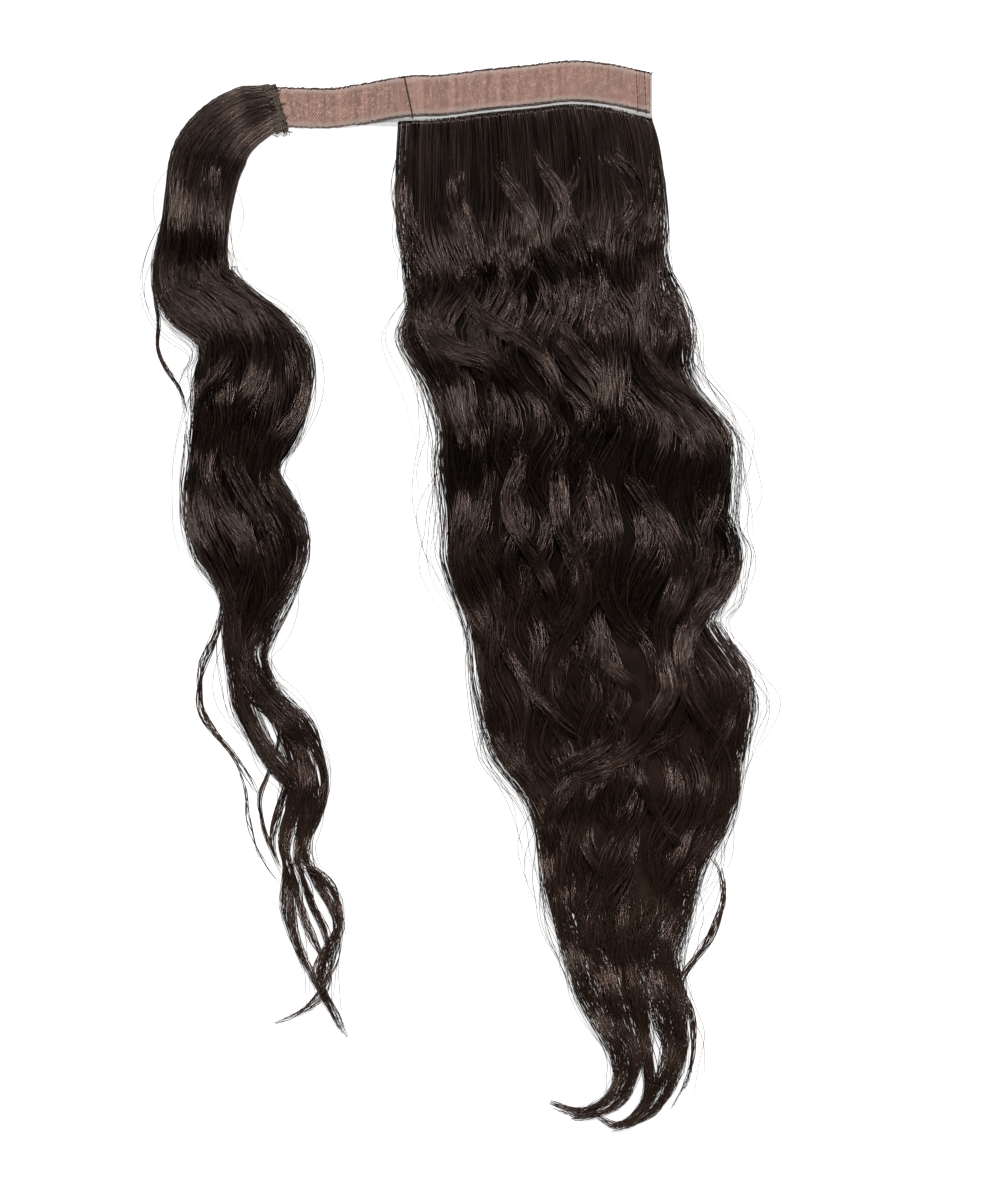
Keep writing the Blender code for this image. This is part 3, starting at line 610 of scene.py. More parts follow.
@dataclass
class Strands:
    """Points and radii of many strands, ready to be made one mesh.

    Args:
        points: strands by stations by 3.
        radii: strands by stations.
        tone: one random value from 0 to 1 for each strand.
    """

    points: np.ndarray
    radii: np.ndarray
    tone: np.ndarray

    @classmethod
    def even(cls, points: np.ndarray, radius: float, tone: np.ndarray) -> "Strands":
        """Strands of one radius all along."""
        return cls(points, np.full(points.shape[:2], radius), tone)

    def part(self, start: int, stop: int) -> "Strands":
        """The strands from start to stop."""
        return Strands(self.points[start:stop], self.radii[start:stop], self.tone[start:stop])

    def tubes(self, sides: int) -> tuple[np.ndarray, ...]:
        """Closed tapered tubes around the strands.

        Args:
            sides: sides of each tube.

        Returns:
            Their points, each face corner's point, the faces' sizes, and for each point its
            strand, its share along it and its tone.
        """
        count, stations, _ = self.points.shape
        tangent = unit(np.gradient(self.points, axis=1))
        side = unit(np.cross(tangent, np.array((0.0, 0.0, 1.0))))
        lift = np.cross(side, tangent)
        turn = 2 * math.pi * (np.arange(sides) / sides) + math.pi / 2
        ring = np.cos(turn)[:, None] * side[:, :, None, :] + np.sin(turn)[:, None] * lift[:, :, None, :]
        verts = self.points[:, :, None, :] + ring * self.radii[:, :, None, None]
        index = np.arange(count * stations * sides).reshape(count, stations, sides)
        low, high = index[:, :-1], index[:, 1:]
        quads = np.stack((low, high, np.roll(high, -1, axis=2), np.roll(low, -1, axis=2)), axis=-1)
        loops = np.concatenate((quads.reshape(-1), index[:, 0].reshape(-1), index[:, -1, ::-1].reshape(-1)))
        sizes = np.concatenate((np.full(quads.size // 4, 4), np.full(2 * count, sides)))
        strand = np.repeat(np.arange(count), stations * sides)
        along = np.tile(np.repeat(np.arange(stations) / (stations - 1), sides), count)
        return verts.reshape(-1, 3), loops, sizes, strand, along, np.repeat(self.tone, stations * sides)


def strand_mesh(name: str, parts: list[Strands], sides: int) -> bpy.types.Mesh:
    """Makes one mesh of strands, with a narrow UV column and a tone for each.

    Args:
        name: the mesh's name.
        parts: the strands, which may differ in their stations.
        sides: sides of each strand.

    Returns:
        The mesh.
    """
    tubes = [part.tubes(sides) for part in parts]
    firsts = np.cumsum([0] + [len(tube[0]) for tube in tubes])
    strands = np.cumsum([0] + [len(part.tone) for part in parts])
    verts = np.concatenate([tube[0] for tube in tubes])
    verts[:, 2] = np.maximum(verts[:, 2], SKIN_FLOOR)
    loops = np.concatenate([tube[1] + first for tube, first in zip(tubes, firsts)])
    sizes = np.concatenate([tube[2] for tube in tubes])
    strand = np.concatenate([tube[3] + first for tube, first in zip(tubes, strands)])
    along = np.concatenate([tube[4] for tube in tubes])
    tone = np.concatenate([tube[5] for tube in tubes])
    mesh = bpy.data.meshes.new(name)
    mesh.vertices.add(len(verts))
    mesh.vertices.foreach_set("co", verts.reshape(-1).astype(np.float32))
    mesh.loops.add(len(loops))
    mesh.loops.foreach_set("vertex_index", loops.astype(np.int32))
    mesh.polygons.add(len(sizes))
    starts = np.concatenate(((0,), np.cumsum(sizes)[:-1]))
    mesh.polygons.foreach_set("loop_start", starts.astype(np.int32))
    mesh.update(calc_edges=True)
    u = (strand[loops] + 0.1 + 0.8 * (loops % sides) / sides) / strands[-1]
    uv = mesh.uv_layers.new(name=STRAND_UV)
    v = 0.02 + 0.96 * along[loops]
    uv.data.foreach_set("uv", np.stack((u, v), axis=-1).reshape(-1).astype(np.float32))
    colour = np.stack((tone, along, (tone * 7.31) % 1.0, np.ones_like(tone)), axis=-1)
    mesh.attributes.new(TONE_ATTRIBUTE, "FLOAT_COLOR", "POINT").data.foreach_set(
        "color", colour.reshape(-1).astype(np.float32))
    mesh.shade_smooth()
    return mesh


@dataclass(frozen=True)
class Clump:
    """A lock inside a body of hair, which its strands gather into on their way down.

    Args:
        root: place across the body where it starts, from 0 at its left edge to 1.
        foot: place across the body where it ends.
        width: half width in shares of the body's width.
        layer: share of the body's height that its crown reaches.
        swing: height of its sideways waves.
        lift: height of its up-and-down waves.
        wave: length of its waves.
        phase: phase of its waves in turns.
        tip: the tip lock that it runs into.
        slot: place across that tip lock, from -1 to 1.
    """

    root: float
    foot: float
    width: float
    layer: float
    swing: float
    lift: float
    wave: float
    phase: float
    tip: int
    slot: float


@dataclass(frozen=True)
class Crest:
    """A long low swell across the hair, which rises slowly and falls off quickly below its line.

    Args:
        left: plan point of its line's left end.
        middle: plan point of the line's middle.
        right: plan point of the line's right end.
        rise: length of the slope above the line.
        fall: length of the slope below it.
        height: its height.
        fade: share of the line over which each of its ends fades.
    """

    left: tuple[float, float]
    middle: tuple[float, float]
    right: tuple[float, float]
    rise: float
    fall: float
    height: float
    fade: float = 0.22

    def lift(self, x: np.ndarray, y: np.ndarray) -> np.ndarray:
        """How far the swell raises the hair.

        Args:
            x: plan places.
            y: plan places.

        Returns:
            The rise at each place.
        """
        keys, levels = zip(self.left, self.middle, self.right)
        above = y - smooth_curve(keys, levels, x)
        edge = self.fade * (self.right[0] - self.left[0])
        from_left = smooth_step((x - self.left[0] + edge / 2) / edge)
        from_right = smooth_step((self.right[0] + edge / 2 - x) / edge)
        slope = np.where(above > 0, smooth_step(1 - above / self.rise), smooth_step(1 + above / self.fall))
        return self.height * from_left * from_right * slope


@dataclass(frozen=True)
class LockPath:
    """A lock that follows its own path in plan.

    Args:
        points: plan points that it runs through.
        widths: its width at each.
        tops: height of its upper surface at each.
        depths: how far it reaches below that surface.
        count: how many strands it has.
        strays: how far its strands wander.
        ragged: how early its shortest strands end, in shares of its length.
        swell: height of the waves along it.
    """

    points: np.ndarray
    widths: np.ndarray
    tops: np.ndarray
    depths: float
    count: int
    strays: float = 1.0 * MM
    ragged: float = 0.26
    swell: float = 0.4 * MM

    def keys(self) -> np.ndarray:
        """Shares of its length at its points."""
        run = np.concatenate(((0,), np.cumsum(np.linalg.norm(np.diff(self.points, axis=0), axis=1))))
        return run / run[-1]

    def length(self) -> float:
        """Its length."""
        return float(np.sum(np.linalg.norm(np.diff(self.points, axis=0), axis=1)))

    def read(self, share: np.ndarray) -> tuple[np.ndarray, np.ndarray, np.ndarray, np.ndarray]:
        """The path at shares of its length.

        Args:
            share: shares from 0 to 1.

        Returns:
            Its plan points, its crosswise directions, its half widths and its tops.
        """
        keys = self.keys()
        step = 0.004

        def place(at: np.ndarray) -> np.ndarray:
            """Plan points at shares of the length."""
            return np.stack([smooth_curve(keys, self.points[:, n], at) for n in (0, 1)], axis=-1)

        ahead = place(np.clip(share + step, 0, 1)) - place(np.clip(share - step, 0, 1))
        across = unit(np.stack((-ahead[..., 1], ahead[..., 0]), axis=-1))
        half = smooth_curve(keys, self.widths, share) / 2
        return place(share), across, half, smooth_curve(keys, self.tops, share)


@dataclass(frozen=True)
class Wave:
    """Slow random waves along strands.

    Args:
        height: their height in millimetres.
        shortest: their shortest length in millimetres.
        longest: their longest length in millimetres.
    """

    height: float
    shortest: float
    longest: float

    def along(self, rng: np.random.Generator, at: np.ndarray) -> np.ndarray:
        """The waves, one set for each strand.

        Args:
            rng: the source of chance.
            at: places along the strands, strands by stations, in metres.

        Returns:
            Values from about the height below zero to the height above it, in metres.
        """
        total = np.zeros_like(at)
        for share in (0.6, 0.4):
            length = rng.uniform(self.shortest * MM, self.longest * MM, (len(at), 1))
            phase = rng.uniform(0, 2 * math.pi, (len(at), 1))
            total += share * np.sin(2 * math.pi * at / length + phase)
        return self.height * MM * total


@dataclass(frozen=True)
class Wisps:
    """Strands in small wisps, where the strands of a wisp share part of what chance gives them.

    Args:
        rng: the source of chance.
        member: each strand's wisp.
        total: how many wisps there are.
        length: the length that the strands run along.
        stations: points along each strand.
    """

    rng: np.random.Generator
    member: np.ndarray
    total: int
    length: float
    stations: int

    def mixed(self, low: float, high: float, shared: float = 0.5) -> np.ndarray:
        """A value from low to high for each strand, whose shared part it has from its wisp."""
        common = self.rng.uniform(low, high, self.total)[self.member]
        return shared * common + (1 - shared) * self.rng.uniform(low, high, self.member.size)

    def jitter(self, shared: float, own: float) -> np.ndarray:
        """Small differences between wisps and between their strands, one row for each strand."""
        common = self.rng.normal(0, shared, self.total)[self.member]
        return (common + self.rng.normal(0, own, self.member.size))[:, None]

    def waves(self, run: np.ndarray, shared: Wave, own: Wave) -> np.ndarray:
        """Waves of whole wisps, with waves of single strands on them.

        Args:
            run: places along the strands, strands by stations.
            shared: the wisps' waves.
            own: the strands' own waves.

        Returns:
            Strands by stations.
        """
        evenly = np.broadcast_to(np.linspace(0, self.length, self.stations), (self.total, self.stations))
        common = shared.along(self.rng, evenly)[self.member]
        return common + own.along(self.rng, run)


def tapered(radius: np.ndarray, stations: int, thin_from: float = 0.8) -> np.ndarray:
    """Radii, strands by stations, that thin towards each strand's end from a share of its length."""
    along = np.linspace(0, 1, stations)
    return radius[:, None] * (1 - 0.55 * smooth_step((along - thin_from) / (1 - thin_from)))[None, :]


def path_strands(path: LockPath, rng: np.random.Generator, radius: float, sink: float) -> Strands:
    """Fills a lock with strands, in small wisps that rise and fall a little on their own.

    Args:
        path: the lock.
        rng: the source of chance.
        radius: the strands' radius.
        sink: how far the strands' ends dip into the hair below.

    Returns:
        The strands.
    """
    station_step = 5.2 * MM
    swell_length = 36 * MM
    count = path.count
    length = path.length()
    stations = int(np.clip(round(length / station_step) + 3, 12, 44))
    start = rng.uniform(0.0, 0.26, (count, 1))
    end = 1 - path.ragged * rng.uniform(0, 1, (count, 1)) ** 1.6
    own = np.linspace(0, 1, stations)[None, :]
    share = start + (end - start) * own
    run = share * length
    member = rng.integers(0, max(3, count // 7), count)
    wisps = Wisps(rng, member, int(member.max()) + 1, length, stations)
    offset = wisps.mixed(-1, 1, WISP_SHARE)[:, None]
    drift = wisps.waves(run, Wave(path.strays / MM, 35, 80), Wave(0.35, 30, 80))
    centre, across, half, _ = path.read(share)
    slide = wisps.jitter(2.6 * MM, 0.8 * MM) / length
    top = path.read(np.clip(share + slide, 0, 1))[3]
    plan = centre + across * (offset * half + drift)[..., None]
    crown = np.sqrt(np.clip(1 - offset ** 2, 0.06, 1))
    deep = wisps.mixed(0, 1)[:, None]
    z = top - path.depths * (deep * crown + 0.8 * (1 - crown))
    z += wisps.waves(run, Wave(0.50, 26, 60), Wave(0.22, 20, 50))
    beat = rng.uniform(0, 2 * math.pi) + rng.normal(0, 0.4, wisps.total)[member][:, None]
    z += path.swell * np.sin(2 * math.pi * run / swell_length + beat)
    z -= sink * (2 - smooth_step(own / 0.22) - smooth_step((1 - own) / 0.20))
    points = np.concatenate((plan, np.maximum(z, STRAND_FLOOR)[..., None]), axis=-1)
    tone = wisps.mixed(0, 1)
    return Strands(points, tapered(rng.uniform(0.75, 1.15, count) * radius, stations), tone)


@dataclass
class HairBody:
    """A body of hair: a dark bed under it, and strands that gather into locks.

    Args:
        name: start of its pieces' names.
        node: the CAD node that it stands for.
        length: length from root to tip.
        thickness: its greatest height.
        seed: seed of its chance.
        full: strands that run the whole length.
        part: strands that run a part of it.
        radius: a strand's radius.
        clumps: its locks.
        crests: swells across it.
        tips: its tip locks.
        paths: locks that follow their own paths.
        tip_start: share of the length where the tip locks start.
        bed_end: share of the length where the bed ends.
        bed_height: the bed's height in shares of the hair's.
        bed_taper: share of the length over which the bed narrows to its end.
        wave_start: share of the length where the waves start.
        level: share of the height that its own strands fill, under the traced locks.
        start: share of the length where its strands start, before the edge that covers them.
    """

    name: str
    node: str
    length: float
    thickness: float
    seed: int
    full: int
    part: int
    radius: float = 0.225 * MM
    clumps: list[Clump] = field(default_factory=list)
    crests: tuple[Crest, ...] = ()
    tips: tuple[LockPath, ...] = ()
    paths: tuple[LockPath, ...] = ()
    tip_start: float = 0.80
    bed_end: float = 0.80
    bed_height: float = 0.42
    bed_taper: float = 0.22
    wave_start: float = 0.05
    level: float = 0.92
    start: float = -0.0018

    def ground(self, place: np.ndarray, down: np.ndarray) -> tuple[np.ndarray, np.ndarray]:
        """Plan point and crosswise direction at a place across and a share down."""
        raise NotImplementedError

    def height(self, down: np.ndarray) -> np.ndarray:
        """The body's height at a share down."""
        raise NotImplementedError

    def crown(self, place: np.ndarray) -> np.ndarray:
        """The body's section: its height across it, in shares of the height at its middle."""
        side = np.clip(np.abs(2 * place - 1), 0, 1)
        return 0.10 + 0.90 * np.sqrt(1 - side ** 2.6)

    def locate(self, points: np.ndarray) -> tuple[np.ndarray, np.ndarray]:
        """Place across and share down of plan points."""
        place = np.full(len(points), 0.5)
        down = np.full(len(points), 0.4)
        for _ in range(12):
            plan, across = self.ground(place, down)
            beside, _ = self.ground(place + 0.01, down)
            below, _ = self.ground(place, down + 0.01)
            wide = np.linalg.norm(beside - plan, axis=-1) / 0.01
            fall = np.maximum((plan - below)[:, 1], 1e-5) / 0.01
            miss = points - plan
            place = place + np.sum(miss * across, axis=-1) / wide
            down = np.clip(down - (miss[:, 1] - across[:, 1] * np.sum(miss * across, axis=-1)) / fall, 0, 1)
        return place, down

    def follow(self, traced: TracedLock, depth: float, on_body: bool = True) -> LockPath:
        """A lock path along a traced lock.

        Args:
            traced: the traced lock.
            depth: how far it reaches below its upper surface.
            on_body: whether its lift counts from the body's surface instead of the floor.

        Returns:
            The path.
        """
        lower_y, lower_swell, upper_swell = -50 * MM, 1.7 * MM, 0.4 * MM
        relief_y, least_top = -40 * MM, 1.2 * MM
        x, y, widths, tops = (np.asarray(traced.rows, dtype=float) * MM).T
        points = np.stack((x, y), axis=-1)
        if on_body:
            place, down = self.locate(points)
            tops = tops + 0.97 * self.height(down) * self.crown(place)
            tops += 0.8 * self.relief(x, y) * (y < relief_y)
        swell = lower_swell if y.mean() < lower_y else upper_swell
        return LockPath(points, widths, np.maximum(tops, least_top), depth, traced.count, swell=swell)

    def end_locks(self, count: int, depth: float) -> tuple[LockPath, ...]:
        """A lock for each tip, which leaves the body well above it.

        Args:
            count: how many strands each has.
            depth: how far each reaches below its upper surface.

        Returns:
            The locks.
        """
        above_tip, swell, strays = 2.2 * MM, 1.6 * MM, 2.0 * MM
        found = []
        for number, tip in enumerate(self.tips):
            place = np.full(2, (number + 0.5) / len(self.tips))
            down = np.array((self.tip_start - 0.10, self.tip_start - 0.05))
            above, _ = self.ground(place, down)
            points = np.concatenate((above, tip.points))
            widths = np.concatenate((tip.widths[:1].repeat(2) * 0.9, tip.widths))
            tops = np.concatenate((0.7 * self.height(down), tip.tops + above_tip))
            found.append(LockPath(points, widths, tops, depth, count, strays, ragged=0.48, swell=swell))
        return tuple(found)

    def relief(self, x: np.ndarray, y: np.ndarray) -> np.ndarray:
        """How far all the swells together raise the hair at plan places."""
        total = np.zeros_like(x)
        for crest in self.crests:
            total += crest.lift(x, y)
        return total

    def gathered_place(self, first: np.ndarray, clump: np.ndarray, offset: np.ndarray,
                       down: np.ndarray) -> np.ndarray:
        """Place across, as strands go from an even spread at the root to their locks.

        Args:
            first: each strand's place at the root.
            clump: each strand's lock.
            offset: each strand's place across its lock, from -1 to 1.
            down: strands by stations.

        Returns:
            Strands by stations.
        """
        table = np.array([(c.root, c.foot, c.width) for c in self.clumps])[clump]
        centre = table[:, 0:1] + (table[:, 1:2] - table[:, 0:1]) * smooth_step(down / 0.85)
        half = table[:, 2:3] * (1.40 - 0.25 * smooth_step((down - 0.45) / 0.35))
        inside = np.clip(centre, half * 0.9, 1 - half * 0.9) + offset[:, None] * half
        gather = smooth_step((down - 0.04) / 0.38)
        return np.clip(first[:, None] * (1 - gather) + inside * gather, 0.0, 1.0)

    def strands(self, rng: np.random.Generator, count: int, stations: int,
                spans: tuple[np.ndarray, np.ndarray], depth: Depth) -> Strands:
        """Lays strands in the body.

        Args:
            rng: the source of chance.
            count: how many.
            stations: points along each.
            spans: where each starts and ends, in shares of the length.
            depth: how deep they lie.

        Returns:
            The strands.
        """
        first = (rng.permutation(count) + rng.uniform(0, 1, count)) / count
        roots = np.array([c.root for c in self.clumps])
        reach = np.abs(first[:, None] - roots[None, :]) + rng.uniform(0, 0.05, (count, roots.size))
        clump = np.argmin(reach, axis=1)
        total = max(6, count // 8)
        wisps = Wisps(rng, rng.integers(0, total, count), total, self.length, stations)
        offset = wisps.mixed(-1, 1, WISP_SHARE)
        start, end = spans
        own = np.linspace(0, 1, stations)[None, :]
        own = own - 0.7 * own * (1 - own) ** 10
        down = start[:, None] + (end - start)[:, None] * own
        place = self.gathered_place(first, clump, offset, down)
        plan, across = self.ground(place, down)
        table = np.array([(c.layer, c.swing, c.lift, c.wave, c.phase) for c in self.clumps])[clump]
        layer, swing, lift, wave, phase = (table[:, n:n + 1] for n in range(5))
        phase = phase + wisps.jitter(0.045, 0.015)
        lift = lift * rng.uniform(0.6, 1.3, total)[wisps.member][:, None]
        run = down * self.length
        turn = 2 * math.pi * (run / wave + phase)
        growth = smooth_step((down - self.wave_start) / 0.16)
        free = np.sqrt(np.clip(4 * place * (1 - place), 0.04, 1))
        side = swing * np.sin(turn) * growth * free
        stray = wisps.waves(run, Wave(1.5, 60, 130), Wave(0.45, 40, 110))
        stray *= growth * (1 + 0.4 * smooth_step((down - 0.5) / 0.3))
        plan = plan + across * (side + stray * (0.35 + 0.65 * free))[..., None]
        section = np.sqrt(np.clip(1 - offset[:, None] ** 2, 0.02, 1))
        body = layer * (0.60 + 0.40 * section)
        level = self.level * (1 + (body - 1) * growth)
        inside = rng.uniform(*depth.value, (count, 1))
        slip = wisps.jitter(0.007, 0.003)
        crown = self.crown(place)
        top = self.height(down + slip * smooth_step(down / 0.02)) * crown
        z = top * level * inside
        rise = np.sin(turn - 1.9) + 0.22 * np.sin(2 * turn - 3.2)
        z += lift * rise * growth * crown * np.clip(top / (9 * MM), 0, 1)
        z += self.relief(plan[..., 0], plan[..., 1]) * inside * smooth_step(down / 0.08) * crown
        z += (0.55 + 0.45 * growth) * wisps.waves(run, Wave(0.55, 30, 75), Wave(0.30, 22, 60))
        points = np.concatenate((plan, z[..., None]), axis=-1)
        self.run_into_tips(points, clump, offset, down, inside, stray)
        points[..., 2] = np.maximum(points[..., 2], STRAND_FLOOR)
        tone = wisps.mixed(0, 1)
        return Strands(points, tapered(rng.uniform(0.75, 1.15, count) * self.radius, stations), tone)

    def run_into_tips(self, points: np.ndarray, clump: np.ndarray, offset: np.ndarray, down: np.ndarray,
                      inside: np.ndarray, stray: np.ndarray) -> None:
        """Bends the strands' ends into the tip locks.

        Args:
            points: strands by stations by 3, which are changed.
            clump: each strand's lock.
            offset: each strand's place across its lock.
            down: strands by stations.
            inside: each strand's depth.
            stray: how far it strays sideways along its way.
        """
        if not self.tips:
            return
        into = smooth_step((down - self.tip_start + 0.03) / 0.08)
        share = np.clip((down - self.tip_start) / (1 - self.tip_start), 0, 1)
        tip = np.array([c.tip for c in self.clumps])[clump]
        slot = np.array([c.slot for c in self.clumps])[clump]
        for number, path in enumerate(self.tips):
            mine = tip == number
            if not mine.any():
                continue
            centre, across, half, top = path.read(share[mine])
            place = (0.80 * slot[mine] + 0.50 * offset[mine])[:, None]
            freed = 1 - 0.75 * share[mine]
            plan = centre + across * (place * half * 1.15 + stray[mine] * freed)[..., None]
            z = top * (0.35 + 0.65 * inside[mine] * np.sqrt(np.clip(1 - place ** 2, 0.1, 1)))
            target = np.concatenate((plan, z[..., None]), axis=-1)
            blend = into[mine][..., None]
            points[mine] = points[mine] * (1 - blend) + target * blend


@dataclass
class TailHair(HairBody):
    """The long tail under the right half of the tape.

    Args:
        width: width of its root.
    """

    width: float = TAPE.tail_width

    def root_y(self, place: np.ndarray) -> np.ndarray:
        """Y of the hair's upper edge along the white strip's lower edge."""
        x = TAPE.tail_middle_x() + self.width * (place - 0.5)
        return TAPE.middle(x) - TAPE.width / 2 - TAPE.backing_shows

    def ground(self, place: np.ndarray, down: np.ndarray) -> tuple[np.ndarray, np.ndarray]:
        """Plan point and crosswise direction at a place across and a share down."""
        half = self.width / 2
        left = TAPE.tail_middle_x() + half * read_rows(TAIL_ROWS, "left", down)
        right = TAPE.tail_middle_x() + half * read_rows(TAIL_ROWS, "right", down)
        x = left + (right - left) * place
        root = self.root_y(np.clip(place, 0, 1))
        foot = TAPE.start[1] - self.length
        y = root + (foot - root) * down
        across = np.zeros(x.shape + (2,))
        across[..., 0] = 1.0
        return np.stack((x, y), axis=-1), across

    def height(self, down: np.ndarray) -> np.ndarray:
        """The tail's height at a share down."""
        return self.thickness * read_rows(TAIL_ROWS, "height", down)


@dataclass
class WrapHair(HairBody):
    """The narrower lock sewn to the tape's left end.

    Args:
        width: its greatest width.
        draw_in: share of its length over which it leaves the stitched band's direction.
    """

    width: float = 62.0 * MM
    draw_in: float = 0.04
    start: float = -0.006

    def root(self) -> np.ndarray:
        """Middle of the band's outer edge, where the lock starts."""
        across = TAPE.band_axes()[1]
        return np.asarray(TAPE.start) + across * (TAPE.band_reach - TAPE.hair_reach - TAPE.gap)

    def middle(self, down: np.ndarray) -> np.ndarray:
        """The lock's middle line at shares of its length."""
        root = self.root()
        x = root[0] + self.width * read_rows(WRAP_ROWS, "side", down)
        y = root[1] - self.length * np.clip(down, 0, None)
        under = self.length * np.clip(-np.asarray(down), 0, None)
        return np.stack((x, y), axis=-1) + TAPE.band_axes()[1] * under[..., None]

    def ground(self, place: np.ndarray, down: np.ndarray) -> tuple[np.ndarray, np.ndarray]:
        """Plan point and crosswise direction at a place across and a share down."""
        width = self.width * read_rows(WRAP_ROWS, "width", down)
        step = 0.012
        ahead = self.middle(np.clip(down + step, 0, 1)) - self.middle(np.clip(down - step, 0, 1))
        path_across = unit(np.stack((ahead[..., 1], -ahead[..., 0]), axis=-1))
        band_across = -TAPE.band_axes()[0]
        into = smooth_step(down / self.draw_in)[..., None]
        across = unit(band_across * (1 - into) + path_across * into)
        return self.middle(down) + across * ((place - 0.5) * width)[..., None], across

    def height(self, down: np.ndarray) -> np.ndarray:
        """The lock's height at a share down."""
        return self.thickness * read_rows(WRAP_ROWS, "height", down)


# Finishes

class SocketKind(Enum):
    """Types of a node group's sockets."""

    NUMBER = "NodeSocketFloat"
    VECTOR = "NodeSocketVector"
    COLOUR = "NodeSocketColor"


@dataclass(frozen=True)
class Socket:
    """A named socket of a node group.

    Args:
        name: its name.
        kind: its type.
        value: an input's default.
    """

    name: str
    kind: SocketKind = SocketKind.NUMBER
    value: float | tuple[float, ...] | None = None


Source = bpy.types.NodeSocket | float | tuple[float, ...]


@dataclass(frozen=True)
class Nodes:
    """Adds shader nodes to a tree, each with what feeds it.

    Args:
        tree: the node tree.
    """

    tree: bpy.types.ShaderNodeTree

    def feed(self, node: bpy.types.Node, sources: dict[str | int, Source]) -> None:
        """Sets or links a node's inputs.

        Args:
            node: the node.
            sources: for each input, by name or number, its value or the output that feeds it.
        """
        for socket, source in sources.items():
            if isinstance(source, bpy.types.NodeSocket):
                self.tree.links.new(source, node.inputs[socket])
            else:
                node.inputs[socket].default_value = source

    def add(self, kind: str, sources: dict[str | int, Source] | None = None,
            **settings: object) -> bpy.types.Node:
        """Adds a node.

        Args:
            kind: the node's type, without what all shader nodes' types start with.
            sources: what feeds its inputs.
            settings: its own settings.

        Returns:
            The node.
        """
        node = self.tree.nodes.new("ShaderNode" + kind)
        for name, value in settings.items():
            setattr(node, name, value)
        self.feed(node, sources or {})
        return node

    def math(self, operation: str, *sources: Source, clamp: bool = False) -> bpy.types.NodeSocket:
        """The result of a Math node, which may be held between 0 and 1."""
        return self.add("Math", dict(enumerate(sources)), operation=operation, use_clamp=clamp).outputs[0]

    def span(self, source: Source, given: tuple[float, float],
             made: tuple[float, float]) -> bpy.types.NodeSocket:
        """A value carried from one range to another and held there."""
        node = self.add("MapRange", {"Value": source, "From Min": given[0], "From Max": given[1],
                                     "To Min": made[0], "To Max": made[1]})
        return node.outputs["Result"]

    def blend(self, share: Source, low: Source, high: Source) -> bpy.types.NodeSocket:
        """A colour between two others, at a share of the way from the low one to the high one."""
        return self.add("Mix", {0: share, 6: low, 7: high}, data_type="RGBA").outputs[2]

    def noise(self, place: Source, scale: float, detail: float = 2.0,
              roughness: float = 0.5) -> bpy.types.NodeSocket:
        """Cloudy noise at a place, of a scale, a number of finer layers and their strength."""
        sources = {"Vector": place, "Scale": scale, "Detail": detail, "Roughness": roughness}
        return self.add("TexNoise", sources).outputs["Fac"]

    def bump(self, height: Source, distance: float, strength: float) -> bpy.types.NodeSocket:
        """A normal bent by a height, which reaches a distance in metres."""
        sources = {"Height": height, "Distance": distance, "Strength": strength}
        return self.add("Bump", sources).outputs["Normal"]


def opaque(colour: tuple[float, float, float]) -> tuple[float, float, float, float]:
    """A colour with full alpha."""
    return (*colour, 1.0)


